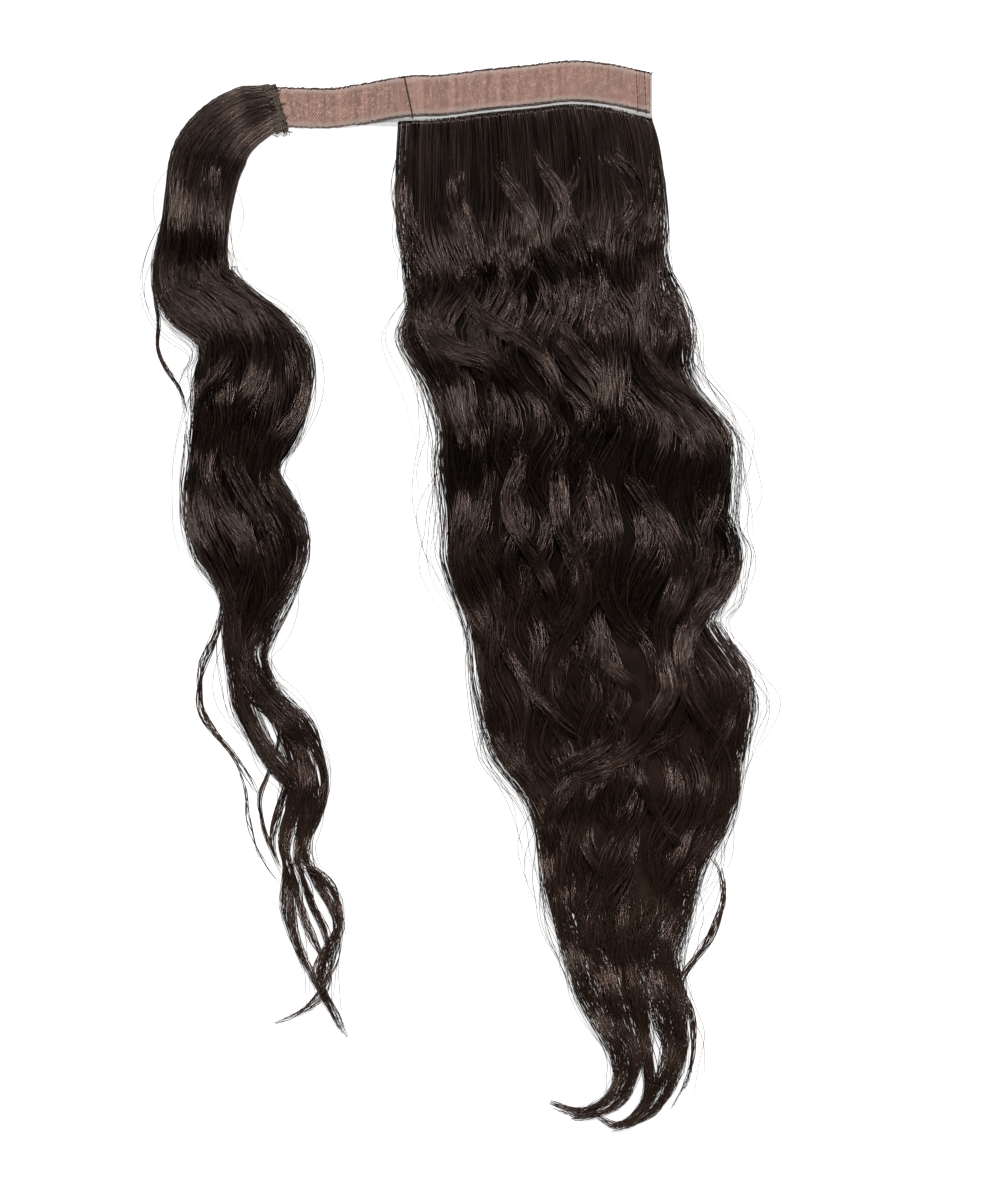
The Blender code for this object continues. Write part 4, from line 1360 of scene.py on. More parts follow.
class GroupMaker:
    """Builds the shader node groups that several finishes share, each once."""

    @staticmethod
    def start(name: str, inputs: tuple[Socket, ...],
              outputs: tuple[Socket, ...]) -> tuple[Nodes, bpy.types.NodeOutputs, bpy.types.Node]:
        """A new group with its named sockets.

        Args:
            name: the group's name.
            inputs: its inputs.
            outputs: its outputs.

        Returns:
            Its nodes, what its inputs bring in, and the node that takes its outputs.
        """
        tree = bpy.data.node_groups.new(name, "ShaderNodeTree")
        for side, sockets in (("INPUT", inputs), ("OUTPUT", outputs)):
            for socket in sockets:
                made = tree.interface.new_socket(name=socket.name, in_out=side, socket_type=socket.kind.value)
                if socket.value is not None:
                    made.default_value = socket.value
        return Nodes(tree), tree.nodes.new("NodeGroupInput").outputs, tree.nodes.new("NodeGroupOutput")

    @classmethod
    def hair_tone_and_painted_light(cls) -> bpy.types.ShaderNodeTree:
        """Hair's Colour and Roughness, from each strand's tone and gloss, the way along it and its place.

        Light strands are few, more of them in cloudy patches. The colour is also painted darker near the top
        of the piece and lighter lower down and towards each strand's tip: painted shade at the root and
        painted sheen below.
        """
        name = "hair tone"
        if name in bpy.data.node_groups:
            return bpy.data.node_groups[name]
        inputs = (
            Socket("Tone", value=0.5),
            Socket("Along", value=0.5),
            Socket("Place", SocketKind.VECTOR),
            Socket("Dark", SocketKind.COLOUR, (0.010, 0.006, 0.005, 1)),
            Socket("Light", SocketKind.COLOUR, (0.060, 0.036, 0.026, 1)),
            Socket("Gloss", value=0.5),
        )
        outputs = (Socket("Colour", SocketKind.COLOUR), Socket("Roughness"))
        group, given, out = cls.start(name, inputs, outputs)
        up_piece = group.add("SeparateXYZ", {0: given["Place"]}).outputs["Y"]
        # Painted shade and sheen: the colour darkens near the top of the piece and lightens lower down.
        lower = group.span(up_piece, (0.06, -0.16), (-0.45, 0.13))
        cloud_and_painted_light = group.math("MULTIPLY_ADD", group.noise(given["Place"], 55.0), 0.7, lower)
        few = group.math("POWER", given["Tone"], 3.4)
        # Painted sheen: the colour is a little lighter towards each strand's tip.
        tone = group.math("MULTIPLY_ADD", given["Along"], 0.10, few)
        share = group.math("ADD", tone, cloud_and_painted_light, clamp=True)
        group.feed(out, {
            "Colour": group.blend(share, given["Dark"], given["Light"]),
            "Roughness": group.span(given["Gloss"], (0.0, 1.0), (0.19, 0.34)),
        })
        return group.tree

    @classmethod
    def weave(cls) -> bpy.types.ShaderNodeTree:
        """A plain weave on a strip's own UV map, from its Warp and Weft counts and its Unevenness.

        Height is the threads' height, Slub their cloudy thickness and Streak long streaks across the weave.
        """
        name = "plain weave"
        if name in bpy.data.node_groups:
            return bpy.data.node_groups[name]
        inputs = (
            Socket("UV", SocketKind.VECTOR),
            Socket("Warp", value=400.0),
            Socket("Weft", value=40.0),
            Socket("Unevenness", value=0.3),
        )
        group, given, out = cls.start(name, inputs, (Socket("Height"), Socket("Slub"), Socket("Streak")))
        place = group.add("SeparateXYZ", {0: given["UV"]}).outputs
        warp = group.math("MULTIPLY", place["X"], given["Warp"])
        weft = group.math("MULTIPLY", place["Y"], given["Weft"])
        waves = [group.math("SINE", group.math("MULTIPLY", threads, math.pi)) for threads in (warp, weft)]
        level = group.math("MULTIPLY_ADD", group.math("MULTIPLY", *waves), 0.5, 0.5)
        threads = group.add("CombineXYZ", {0: warp, 1: weft}).outputs[0]
        slub = group.noise(threads, 0.45, 5.0, 0.7)
        uneven = group.math("MULTIPLY", slub, given["Unevenness"])
        slant = group.math("MULTIPLY", place["Y"], 1.6)
        long_way = group.add("CombineXYZ", {0: warp, 1: slant}).outputs[0]
        group.feed(out, {
            "Height": group.math("MULTIPLY_ADD", group.math("ADD", level, uneven), 0.75, -0.15, clamp=True),
            "Slub": slub,
            "Streak": group.noise(long_way, 0.16, 6.0, 0.75),
        })
        return group.tree


def new_finish(name: str) -> tuple[bpy.types.Material, Nodes, bpy.types.Node]:
    """A new material with a Principled shader.

    Args:
        name: the material's name.

    Returns:
        The material, its nodes and the shader.
    """
    material = bpy.data.materials.new(name)
    material.use_nodes = True
    return material, Nodes(material.node_tree), material.node_tree.nodes["Principled BSDF"]


@dataclass(frozen=True)
class HairFinish:
    """Glossy dark brown hair, with strands of uneven tone.

    Args:
        dark: colour of the darkest strands.
        light: colour of the lightest ones.
        bed_roughness: how dull the bed is.
        tint: colour of the highlights.
        index: the hair's index of refraction.
        strand_gloss: strength of the strands' highlights.
        bed_gloss: strength of the bed's highlights.
    """

    dark: tuple[float, float, float] = (0.0035, 0.0022, 0.0018)
    light: tuple[float, float, float] = (0.080, 0.045, 0.032)
    bed_roughness: float = 0.6
    tint: tuple[float, float, float] = (1.0, 0.72, 0.62)
    index: float = 1.55
    strand_gloss: float = 0.8
    bed_gloss: float = 0.1

    def material(self, name: str, of_strands: bool) -> bpy.types.Material:
        """Builds the finish.

        Args:
            name: the material's name.
            of_strands: whether tone comes from each strand, or from streaks on a bed's UV map.

        Returns:
            The material.
        """
        material, nodes, shader = new_finish(name)
        place = nodes.add("TexCoord").outputs["Object"]
        colours = {"Dark": opaque(self.dark), "Light": opaque(self.light), "Place": place}
        tone = nodes.add("Group", colours, node_tree=GroupMaker.hair_tone_and_painted_light())
        nodes.feed(shader, {
            "Base Color": tone.outputs["Colour"],
            "Roughness": self.bed_roughness,
            "IOR": self.index,
            "Specular IOR Level": self.strand_gloss if of_strands else self.bed_gloss,
            "Specular Tint": opaque(self.tint),
        })
        if of_strands:
            own = nodes.add("Attribute", attribute_name=TONE_ATTRIBUTE).outputs["Color"]
            split = nodes.add("SeparateColor", {0: own}).outputs
            nodes.feed(tone, {"Tone": split["Red"], "Along": split["Green"], "Gloss": split["Blue"]})
            nodes.feed(shader, {"Roughness": tone.outputs["Roughness"]})
        else:
            self.streak_bed(nodes, shader, tone)
        return material

    def streak_bed(self, nodes: Nodes, shader: bpy.types.Node, tone: bpy.types.Node) -> None:
        """Gives a bed streaks that run with the hair.

        Args:
            nodes: the material's nodes.
            shader: its shader.
            tone: its tone group.
        """
        uv = nodes.add("UVMap", uv_map=BED_UV).outputs["UV"]
        stretched = nodes.add("Mapping", {"Vector": uv, "Scale": (160.0, 5.0, 1.0)}).outputs[0]
        streak = nodes.noise(stretched, 1.0, 4.0)
        nodes.feed(tone, {"Tone": nodes.math("MULTIPLY", streak, 0.6), "Along": 0.0})
        nodes.feed(shader, {"Normal": nodes.bump(streak, 0.6 * MM, 0.8)})


@dataclass(frozen=True)
class ClothFinish:
    """A woven strip.

    Args:
        low: colour in the weave's hollows.
        high: colour on its threads.
        edge: colour near its long edges.
        warp: threads along its length.
        weft: threads across its width.
        roughness: its roughness.
        sheen: how much soft fibre light it has.
        relief: depth of the weave.
        mottle: share of the slow colour change.
        fuzz: how much pale fibre shows on its face.
        rim: how much of it shows at its edges.
    """

    low: tuple[float, float, float]
    high: tuple[float, float, float]
    edge: tuple[float, float, float]
    warp: float
    weft: float
    roughness: float
    sheen: float
    relief: float
    mottle: float
    fuzz: float = 0.0
    rim: float = 0.5

    def material(self, name: str) -> bpy.types.Material:
        """Builds the finish on the strip's own UV map.

        Args:
            name: the material's name.

        Returns:
            The material.
        """
        material, nodes, shader = new_finish(name)
        uv = nodes.add("UVMap", uv_map=CLOTH_UV).outputs["UV"]
        counts = {"UV": uv, "Warp": self.warp, "Weft": self.weft, "Unevenness": 0.8}
        weave = nodes.add("Group", counts, node_tree=GroupMaker.weave()).outputs
        nodes.feed(shader, {
            "Base Color": self.colour(nodes, uv, weave),
            "Normal": nodes.bump(weave["Height"], self.relief, 0.9),
            "Roughness": self.roughness,
            "Sheen Weight": self.sheen,
            "Sheen Roughness": 0.5,
            "Specular IOR Level": 0.25,
        })
        return material

    def colour(self, nodes: Nodes, uv: bpy.types.NodeSocket,
               weave: bpy.types.NodeOutputs) -> bpy.types.NodeSocket:
        """The cloth's colour: its threads, slow patches over them, and pale fibre.

        Args:
            nodes: the material's nodes.
            uv: the strip's own coordinates.
            weave: what the weave group gives.

        Returns:
            The colour.
        """
        ramp = nodes.add("ValToRGB", {0: weave["Height"]})
        for stop, place, colour in zip(ramp.color_ramp.elements, (0.2, 0.85), (self.low, self.high)):
            stop.position = place
            stop.color = opaque(colour)
        spread = nodes.add("Mapping", {"Vector": uv, "Scale": (self.warp / 5, self.weft / 6, 1)}).outputs[0]
        cloud = nodes.noise(spread, 1.0, 3.0)
        patches = nodes.add("Mix", {0: 0.72, 2: cloud, 3: weave["Streak"]}).outputs[0]
        slow = nodes.span(patches, (0.3, 0.7), (1 - self.mottle, 1 + self.mottle))
        shade = nodes.add("VectorMath", {0: ramp.outputs["Color"], "Scale": slow}, operation="SCALE")
        across = nodes.add("SeparateXYZ", {0: uv}).outputs["Y"]
        from_middle = nodes.math("ABSOLUTE", nodes.math("SUBTRACT", across, 0.5))
        rim = nodes.span(from_middle, (0.33, 0.47), (0.0, self.rim))
        fuzz = nodes.span(weave["Slub"], (0.52, 0.72), (0.0, self.fuzz))
        return nodes.blend(nodes.math("MAXIMUM", rim, fuzz), shade.outputs[0], opaque(self.edge))


@dataclass(frozen=True)
class ThreadFinish:
    """Sewing thread.

    Args:
        colour: its colour.
        light: the colour of its raised fibres.
        twist: how fine its twist is.
    """

    colour: tuple[float, float, float]
    light: tuple[float, float, float]
    twist: float = 900.0

    def material(self, name: str) -> bpy.types.Material:
        """Builds the finish, with a twist along the thread.

        Args:
            name: the material's name.

        Returns:
            The material.
        """
        material, nodes, shader = new_finish(name)
        place = nodes.add("TexCoord").outputs["Object"]
        turns = {"Vector": place, "Scale": self.twist, "Distortion": 2.0}
        twist = nodes.add("TexWave", turns, wave_type="BANDS", bands_direction="DIAGONAL").outputs["Fac"]
        nodes.feed(shader, {
            "Base Color": nodes.blend(twist, opaque(self.colour), opaque(self.light)),
            "Normal": nodes.bump(twist, 0.1 * MM, 0.7),
            "Roughness": 0.62,
            "Specular IOR Level": 0.35,
        })
        return material


# Helpers for pieces

def deselect() -> None:
    """Leaves edit mode and deselects every object."""
    if bpy.context.object is not None and bpy.context.object.mode != "OBJECT":
        bpy.ops.object.mode_set(mode="OBJECT")
    bpy.ops.object.select_all(action="DESELECT")


def make_active(piece: bpy.types.Object) -> None:
    """Selects one object alone and makes it active."""
    deselect()
    piece.select_set(True)
    bpy.context.view_layer.objects.active = piece


def settle(piece: bpy.types.Object) -> None:
    """Moves an object's place, turn and scale into its mesh."""
    make_active(piece)
    bpy.ops.object.transform_apply(location=True, rotation=True, scale=True)


def face_outwards(piece: bpy.types.Object) -> None:
    """Turns all of a closed piece's faces outwards."""
    make_active(piece)
    bpy.ops.object.mode_set(mode="EDIT")
    bpy.ops.mesh.select_all(action="SELECT")
    bpy.ops.mesh.normals_make_consistent(inside=False)
    bpy.ops.object.mode_set(mode="OBJECT")


def slab(name: str, columns: int, rows: int) -> bpy.types.Object:
    """A thin closed slab from a grid, with its upper points at z = 1 and its lower ones at z = 0.

    Args:
        name: the object's name.
        columns: faces along x.
        rows: faces along y.

    Returns:
        The slab, from 0 to 1 in x and y.
    """
    deselect()
    bpy.ops.mesh.primitive_grid_add(
        x_subdivisions=columns, y_subdivisions=rows, size=1, location=(0.5, 0.5, 0))
    piece = bpy.context.object
    piece.name = name
    piece.data.name = name
    settle(piece)
    bpy.ops.object.mode_set(mode="EDIT")
    bpy.ops.mesh.select_all(action="SELECT")
    bpy.ops.mesh.extrude_region_move(TRANSFORM_OT_translate={"value": (0, 0, 1)})
    face_outwards(piece)
    return piece


def mesh_points(piece: bpy.types.Object) -> np.ndarray:
    """A piece's points as rows of x, y and z."""
    flat = np.empty(len(piece.data.vertices) * 3, dtype=np.float32)
    piece.data.vertices.foreach_get("co", flat)
    return flat.reshape(-1, 3).astype(float)


def place_points(piece: bpy.types.Object, points: np.ndarray) -> None:
    """Puts a piece's points at new places."""
    piece.data.vertices.foreach_set("co", points.reshape(-1).astype(np.float32))
    piece.data.update()


def uv_from(piece: bpy.types.Object, name: str, uv: np.ndarray) -> None:
    """Gives a piece a UV map from values at its points.

    Args:
        piece: the piece.
        name: the map's name.
        uv: one row of u and v for each point.
    """
    mesh = piece.data
    index = np.empty(len(mesh.loops), dtype=np.int32)
    mesh.loops.foreach_get("vertex_index", index)
    layer = mesh.uv_layers.get(name) or mesh.uv_layers.new(name=name)
    layer.data.foreach_set("uv", uv[index].reshape(-1).astype(np.float32))


def finish_piece(piece: bpy.types.Object, material: bpy.types.Material, node: str | None,
                 smooth: bool = True) -> bpy.types.Object:
    """Dresses a piece and fixes it to the frame.

    Args:
        piece: the piece.
        material: its finish.
        node: the CAD node that it stands for, if any.
        smooth: whether it is shaded smooth.

    Returns:
        The piece.
    """
    piece.data.materials.clear()
    piece.data.materials.append(material)
    if smooth:
        piece.data.shade_smooth()
    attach(piece, BODY)
    if node is not None:
        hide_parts(node)
    log.info("%s: %d faces", piece.name, len(piece.data.polygons))
    return piece


def strand_piece(name: str, parts: list[Strands], material: bpy.types.Material, node: str,
                 sides: int = 3) -> bpy.types.Object:
    """Makes a piece of strands.

    Args:
        name: the piece's name.
        parts: its strands.
        material: its finish.
        node: the CAD node that it stands for.
        sides: sides of each strand.

    Returns:
        The piece.
    """
    piece = bpy.data.objects.new(name, strand_mesh(name, parts, sides))
    bpy.context.scene.collection.objects.link(piece)
    return finish_piece(piece, material, node, smooth=False)


# Cloth pieces

@dataclass
class Strip:
    """A strip of cloth that follows the tape's line.

    Args:
        name: the piece's name.
        start: x of its left end.
        end: x of its right end.
        near: how far its lower edge lies from the tape's middle line.
        thickness: its thickness.
        columns: faces along it.
        rows: faces across it.
        ripple: how far its face swells and sinks.
        rounding: how far its long edges are rounded, in thicknesses.
        slim: how far its lower edge draws in at its left end.
    """

    name: str
    start: float
    end: float
    near: float
    thickness: float
    columns: int
    rows: int
    ripple: float
    rounding: float = 0.45
    slim: float = 0.0

    def lift(self, x: np.ndarray) -> np.ndarray:
        """Height of the strip's underside at x."""
        raise NotImplementedError

    def point(self, along: np.ndarray, across: np.ndarray, up: np.ndarray) -> np.ndarray:
        """A point of the strip.

        Args:
            along: share of its length.
            across: share of its width, from its lower edge.
            up: share of its thickness.

        Returns:
            Points as x, y and z.
        """
        x = self.start + (self.end - self.start) * along
        middle = TAPE.middle(x)
        near = self.near - self.slim * smooth_step(1 - (x - self.start) / (34 * MM))
        reach = -near + (near + TAPE.width / 2) * across
        z = self.lift(x) + self.thickness * up
        return np.stack((x - TAPE.lean(x) * reach, middle + reach, z), axis=-1)

    def shape(self) -> bpy.types.Object:
        """Shapes the strip from a slab, with soft swells and rounded edges."""
        piece = slab(self.name, self.columns, self.rows)
        flat = mesh_points(piece)
        along, across, up = flat[:, 0], flat[:, 1], flat[:, 2]
        uv_from(piece, CLOTH_UV, np.stack((along, across), axis=-1))
        points = self.point(along, across, up)
        run = along * (self.end - self.start)
        swell = np.sin(run / (7.3 * MM) + 2.0 * np.sin(run / (23 * MM))) * np.sin(run / (31 * MM) + 1.0)
        cockle = 0.5 * np.sin(run / (2.9 * MM) + 3 * across) * np.sin(3.1 * across * math.pi)
        points[:, 2] += self.ripple * (0.5 + 0.5 * swell + 0.25 * cockle) * up
        rim = np.minimum(across, 1 - across) * (self.near + TAPE.width / 2)
        points[:, 2] -= up * self.rounding * self.thickness * smooth_step(1 - rim / (1.1 * MM))
        frayed = 0.16 * MM * np.sin(run / (0.9 * MM)) * np.sin(run / (3.7 * MM) + 5 * across)
        points[:, 1] += frayed * smooth_step(1 - rim / (0.8 * MM))
        place_points(piece, points)
        return piece


@dataclass
class HookTape(Strip):
    """The looped tape.

    Args:
        loops: how many loose loops stand on it.
        ends: how many loose thread ends it has.
        cut_ends: how many of them are at its cut end.
    """

    name: str = "hook_tape_cloth"
    start: float = TAPE.start[0]
    end: float = TAPE.end_x()
    near: float = TAPE.width / 2
    thickness: float = TAPE.thickness
    columns: int = 250
    rows: int = 16
    ripple: float = 0.35 * MM
    loops: int = 1500
    ends: int = 420
    cut_ends: int = 90

    def lift(self, x: np.ndarray) -> np.ndarray:
        """Height of the tape's underside at x."""
        return TAPE.tape_lift(x)

    def pile(self, rng: np.random.Generator) -> Strands:
        """Small loose loops that stand on the tape's face.

        Args:
            rng: the source of chance.

        Returns:
            The loops.
        """
        count = self.loops
        along = rng.uniform(0.02, 0.995, count)
        across = rng.uniform(0.03, 0.97, count)
        turn = rng.uniform(0, 2 * math.pi, count)
        reach = rng.uniform(0.25, 0.60, count) * MM
        bend = np.linspace(0, 1, 4)[None, :]
        root = self.point(along, across, np.full(count, 0.92))
        step = (bend - 0.5) * reach[:, None] * 2
        x = root[:, 0:1] + np.cos(turn)[:, None] * step
        y = root[:, 1:2] + np.sin(turn)[:, None] * step
        z = root[:, 2:3] + 4 * bend * (1 - bend) * rng.uniform(0.25, 0.55, (count, 1)) * MM
        return Strands.even(np.stack((x, y, z), axis=-1), 0.05 * MM, rng.uniform(0, 1, count))

    def fray(self, rng: np.random.Generator) -> Strands:
        """Loose thread ends along the tape's cut end and long edges.

        Args:
            rng: the source of chance.

        Returns:
            The ends.
        """
        count = self.ends
        at_end = np.arange(count) < self.cut_ends
        along = np.where(at_end, 0.996, rng.uniform(0.0, 1.0, count))
        across = np.where(at_end, rng.uniform(0.02, 0.98, count),
                          np.where(rng.uniform(0, 1, count) < 0.7, 0.985, 0.015))
        root = self.point(along, across, np.full(count, 0.5))
        out = np.where(at_end, 0.0, np.where(across > 0.5, 1.0, -1.0)) * math.pi / 2
        turn = out + rng.normal(0, 0.55, count)
        reach = rng.uniform(0.4, 1.3, count) * MM
        bend = np.linspace(0, 1, 5)[None, :]
        curl = turn[:, None] + rng.normal(0, 0.8, (count, 1)) * bend
        x = root[:, 0:1] + np.cos(curl) * reach[:, None] * bend
        y = root[:, 1:2] + np.sin(curl) * reach[:, None] * bend
        z = root[:, 2:3] + np.sin(bend * 3) * rng.uniform(0, 0.5, (count, 1)) * MM
        return Strands.even(np.stack((x, y, z), axis=-1), 0.055 * MM, rng.uniform(0, 1, count))

    def build(self) -> None:
        """Builds the tape with its pile and frayed edges."""
        rng = np.random.default_rng(41)
        cloth = ClothFinish(low=(0.20, 0.090, 0.065), high=(0.66, 0.41, 0.335), edge=(0.84, 0.73, 0.68),
                            warp=300, weft=25, roughness=0.9, sheen=0.15, relief=0.0003, mottle=0.60,
                            fuzz=0.6, rim=0.50)
        piece = finish_piece(self.shape(), cloth.material("looped tape"), "hook_tape")
        fibre = ThreadFinish(colour=(0.50, 0.29, 0.24), light=(0.80, 0.62, 0.56)).material("tape fibre")
        strand_piece("hook_tape_loops", [self.pile(rng)], fibre, "hook_tape")
        strand_piece("hook_tape_fray", [self.fray(rng)], fibre, "hook_tape")


@dataclass
class BackingStrip(Strip):
    """The white strip under the tape's right part."""

    name: str = "backing_strip_cloth"
    start: float = TAPE.backing_start_x()
    end: float = TAPE.end_x() + TAPE.backing_past
    near: float = TAPE.width / 2 + TAPE.backing_shows
    thickness: float = TAPE.backing_thickness
    columns: int = 160
    rows: int = 10
    ripple: float = 0.0
    rounding: float = 0.08
    slim: float = 2.1 * MM

    def lift(self, x: np.ndarray) -> np.ndarray:
        """Height of the strip's underside at x."""
        return TAPE.backing_lift(x)

    def build(self) -> None:
        """Builds the strip."""
        cloth = ClothFinish(low=(0.74, 0.71, 0.68), high=(0.95, 0.94, 0.92), edge=(0.93, 0.92, 0.90),
                            warp=420, weft=60, roughness=0.7, sheen=0.2, relief=0.00005, mottle=0.05)
        piece = finish_piece(self.shape(), cloth.material("white strip"), "backing_strip")


@dataclass
class Stitching:
    """Threads sewn through the tape: its overcast edge, its lower line and its cross seams.

    Args:
        tape: the tape that they hold.
        radius: the thread's radius.
    """

    tape: HookTape
    radius: float = 0.22 * MM

    def overcast(self, rng: np.random.Generator) -> list[Strands]:
        """Short slanted stitches over the tape's upper edge, with a thread along it."""
        count = 150
        along = (np.arange(count) + rng.uniform(0.2, 0.8, count)) / count
        bend = np.linspace(0, 1, 7)[None, :]
        across = 0.955 + 0.055 * bend + rng.normal(0, 0.006, (count, 1))
        slant = rng.uniform(0.6, 1.6, (count, 1)) * MM / TAPE.length
        up = 1.02 + 0.12 * np.sin(math.pi * bend) - 1.2 * smooth_step((bend - 0.7) / 0.3)
        points = self.tape.point(along[:, None] + slant * bend, across, np.broadcast_to(up, across.shape))
        thick = self.radius * np.repeat(rng.uniform(0.5, 1.5, (count, 1)), 7, axis=1)
        stitches = Strands(points, thick, rng.uniform(0, 1, count))
        run = np.linspace(0.0, 0.995, 400)[None, :]
        wave = 0.985 + 0.012 * np.sin(run * 190) + 0.008 * np.sin(run * 71)
        edge = self.tape.point(run, wave, 0.98 + 0.16 * np.sin(run * 131) + 0.12 * np.sin(run * 53))
        return [stitches, Strands.even(edge, self.radius * 0.95, np.array([0.4]))]

    def lower_line(self) -> Strands:
        """A running seam just inside the tape's lower edge, half sunk between its stitches."""
        run = np.linspace(0.02, 0.99, 500)[None, :]
        across = 0.030 + 0.006 * np.sin(run * 83) + 0.004 * np.sin(run * 211)
        dip = 0.88 + 0.30 * np.sin(run * 2 * math.pi * 62) + 0.22 * np.sin(run * 47)
        return Strands.even(self.tape.point(run, across, dip), self.radius * 0.66, np.array([0.5]))

    def cross_seam(self, start: float, end: float, stitches: int, radius: float) -> Strands:
        """A sewn line across the tape.

        Args:
            start: its place along the tape at the upper edge.
            end: its place along the tape at the lower edge.
            stitches: how many stitches it has.
            radius: the thread's radius.

        Returns:
            The thread.
        """
        bend = np.linspace(0, 1, 90)[None, :]
        up = 1.06 + 0.12 * np.sin(bend * 2 * math.pi * stitches)
        points = self.tape.point(start + (end - start) * bend, 1.0 - 1.06 * bend, up)
        points[..., 2] += 0.1 * MM
        return Strands.even(points, radius, np.array([0.3]))

    def build(self) -> None:
        """Builds the threads."""
        rng = np.random.default_rng(77)
        dark = ThreadFinish(colour=(0.022, 0.009, 0.007), light=(0.085, 0.034, 0.025)).material("dark thread")
        seams = [
            self.cross_seam(0.347, 0.370, 9, self.radius * 1.8),
            self.cross_seam(0.962, 0.967, 8, self.radius * 1.1),
            self.cross_seam(0.984, 0.989, 8, self.radius * 1.1),
        ]
        threads = self.overcast(rng) + [self.lower_line()] + seams
        strand_piece("tape_threads", threads, dark, "hook_tape", sides=6)


@dataclass
class WrapWeft:
    """The stitched band that holds the wrap lock's roots.

    Args:
        length: its length, across the tape.
        width: its width.
        thickness: its thickness.
        shift: how far it lies past the tape's middle line along itself.
    """

    length: float = 24.0 * MM
    width: float = 6.6 * MM
    thickness: float = 2.6 * MM
    shift: float = 1.4 * MM

    def axes(self) -> tuple[np.ndarray, np.ndarray, np.ndarray]:
        """Its middle, and unit directions along and across it."""
        along, across = (np.append(way, 0.0) for way in TAPE.band_axes())
        low = float(TAPE.tape_lift(np.array(TAPE.start[0]))) + TAPE.thickness + TAPE.gap
        middle = np.array((*TAPE.start, low)) + across * (TAPE.band_reach - self.width / 2)
        return middle + along * self.shift, along, across

    def point(self, along: np.ndarray, across: np.ndarray, up: np.ndarray) -> np.ndarray:
        """A point of the band.

        Args:
            along: share of its length.
            across: share of its width, from its outer edge.
            up: height above its underside, in metres.

        Returns:
            Points as x, y and z.
        """
        middle, way, side = self.axes()
        run = ((np.asarray(along) - 0.5) * self.length)[..., None]
        reach = ((np.asarray(across) - 0.5) * self.width)[..., None]
        lift = np.asarray(up)[..., None] * np.array((0.0, 0.0, 1.0))
        return middle + way * run + side * reach + lift

    def crown(self, across: np.ndarray) -> np.ndarray:
        """Height of the band's upper face across it, in shares of its thickness."""
        side = np.clip(np.abs(2 * np.asarray(across) - 1), 0, 1)
        return 0.30 + 0.62 * np.sqrt(np.clip(1 - side ** 3.2, 0, 1))

    def build(self) -> None:
        """Builds the band, the thread rows on it and the frayed curl at its lower end."""
        piece = slab("wrap_weft_band", 24, 90)
        flat = mesh_points(piece)
        uv_from(piece, CLOTH_UV, np.stack((flat[:, 1], flat[:, 0]), axis=-1))
        run = flat[:, 1]
        wave = 0.05 * np.sin(run * 61) + 0.04 * np.sin(run * 17) + 0.03 * np.sin(run * 143)
        top = self.thickness * (self.crown(flat[:, 0]) + 0.03 * np.sin(run * 130)) * flat[:, 2]
        place_points(piece, self.point(run, flat[:, 0] * (1 + wave), top))
        face_outwards(piece)
        cloth = ClothFinish(low=(0.008, 0.006, 0.005), high=(0.070, 0.052, 0.042), edge=(0.030, 0.022, 0.018),
                            warp=44, weft=9, roughness=0.9, sheen=0.0, relief=0.0004, mottle=0.45, rim=0.5)
        finish_piece(piece, cloth.material("stitched band"), "wrap_weft")
        rng = np.random.default_rng(5)
        thread = ThreadFinish(colour=(0.020, 0.013, 0.010), light=(0.30, 0.23, 0.18)).material("band thread")
        threads = self.thread_rows(rng) + [self.curl(rng)]
        strand_piece("wrap_weft_threads", threads, thread, "wrap_weft", sides=5)

    def thread_rows(self, rng: np.random.Generator) -> list[Strands]:
        """Rows of sewn thread along the band and short stitches across its inner edge."""
        run = np.linspace(0.01, 0.99, 160)[None, :]
        rows = []
        for across, beat in ((0.14, 31), (0.34, 34), (0.54, 41), (0.74, 37), (0.90, 44)):
            side = across + 0.02 * np.sin(run * 23 + across * 9)
            up = self.thickness * self.crown(side) + 0.10 * MM * np.sin(run * 2 * math.pi * beat)
            rows.append(Strands.even(self.point(run, side, up), 0.24 * MM, rng.uniform(0, 1, 1)))
        count = 100
        along = (np.arange(count) + rng.uniform(0.1, 0.9, count)) / count
        bend = np.linspace(0, 1, 8)[None, :]
        side = rng.uniform(-0.25, 0.5, (count, 1)) + rng.uniform(0.35, 0.95, (count, 1)) * bend
        up = self.thickness * self.crown(side) + rng.uniform(0.02, 0.30, (count, 1)) * MM
        slant = rng.normal(0.0, 0.045, (count, 1))
        points = self.point(along[:, None] + slant * bend, side, up)
        rows.append(Strands.even(points, 0.22 * MM, rng.uniform(0, 1, count)))
        return rows

    def curl(self, rng: np.random.Generator) -> Strands:
        """Loose thread ends that curl out at the band's lower end."""
        count = 26
        bend = np.linspace(0, 1, 14)[None, :]
        start = self.point(rng.uniform(0.93, 1.0, (count, 1)), rng.uniform(0.6, 1.0, (count, 1)),
                           np.full((count, 1), 1.2 * MM))
        turn = rng.uniform(-1.9, 0.4, (count, 1)) + rng.normal(0, 2.2, (count, 1)) * bend
        reach = rng.uniform(1.5, 4.2, (count, 1)) * MM
        step = reach / 13
        x = start[..., 0] + np.cumsum(np.cos(turn) * step, axis=1)
        y = start[..., 1] + np.cumsum(np.sin(turn) * step, axis=1)
        z = start[..., 2] - 0.7 * MM * bend + 0.3 * MM * np.sin(4 * bend + rng.uniform(0, 6, (count, 1)))
        return Strands.even(np.stack((x, y, z), axis=-1), 0.15 * MM, rng.uniform(0, 1, count))


# Hair pieces

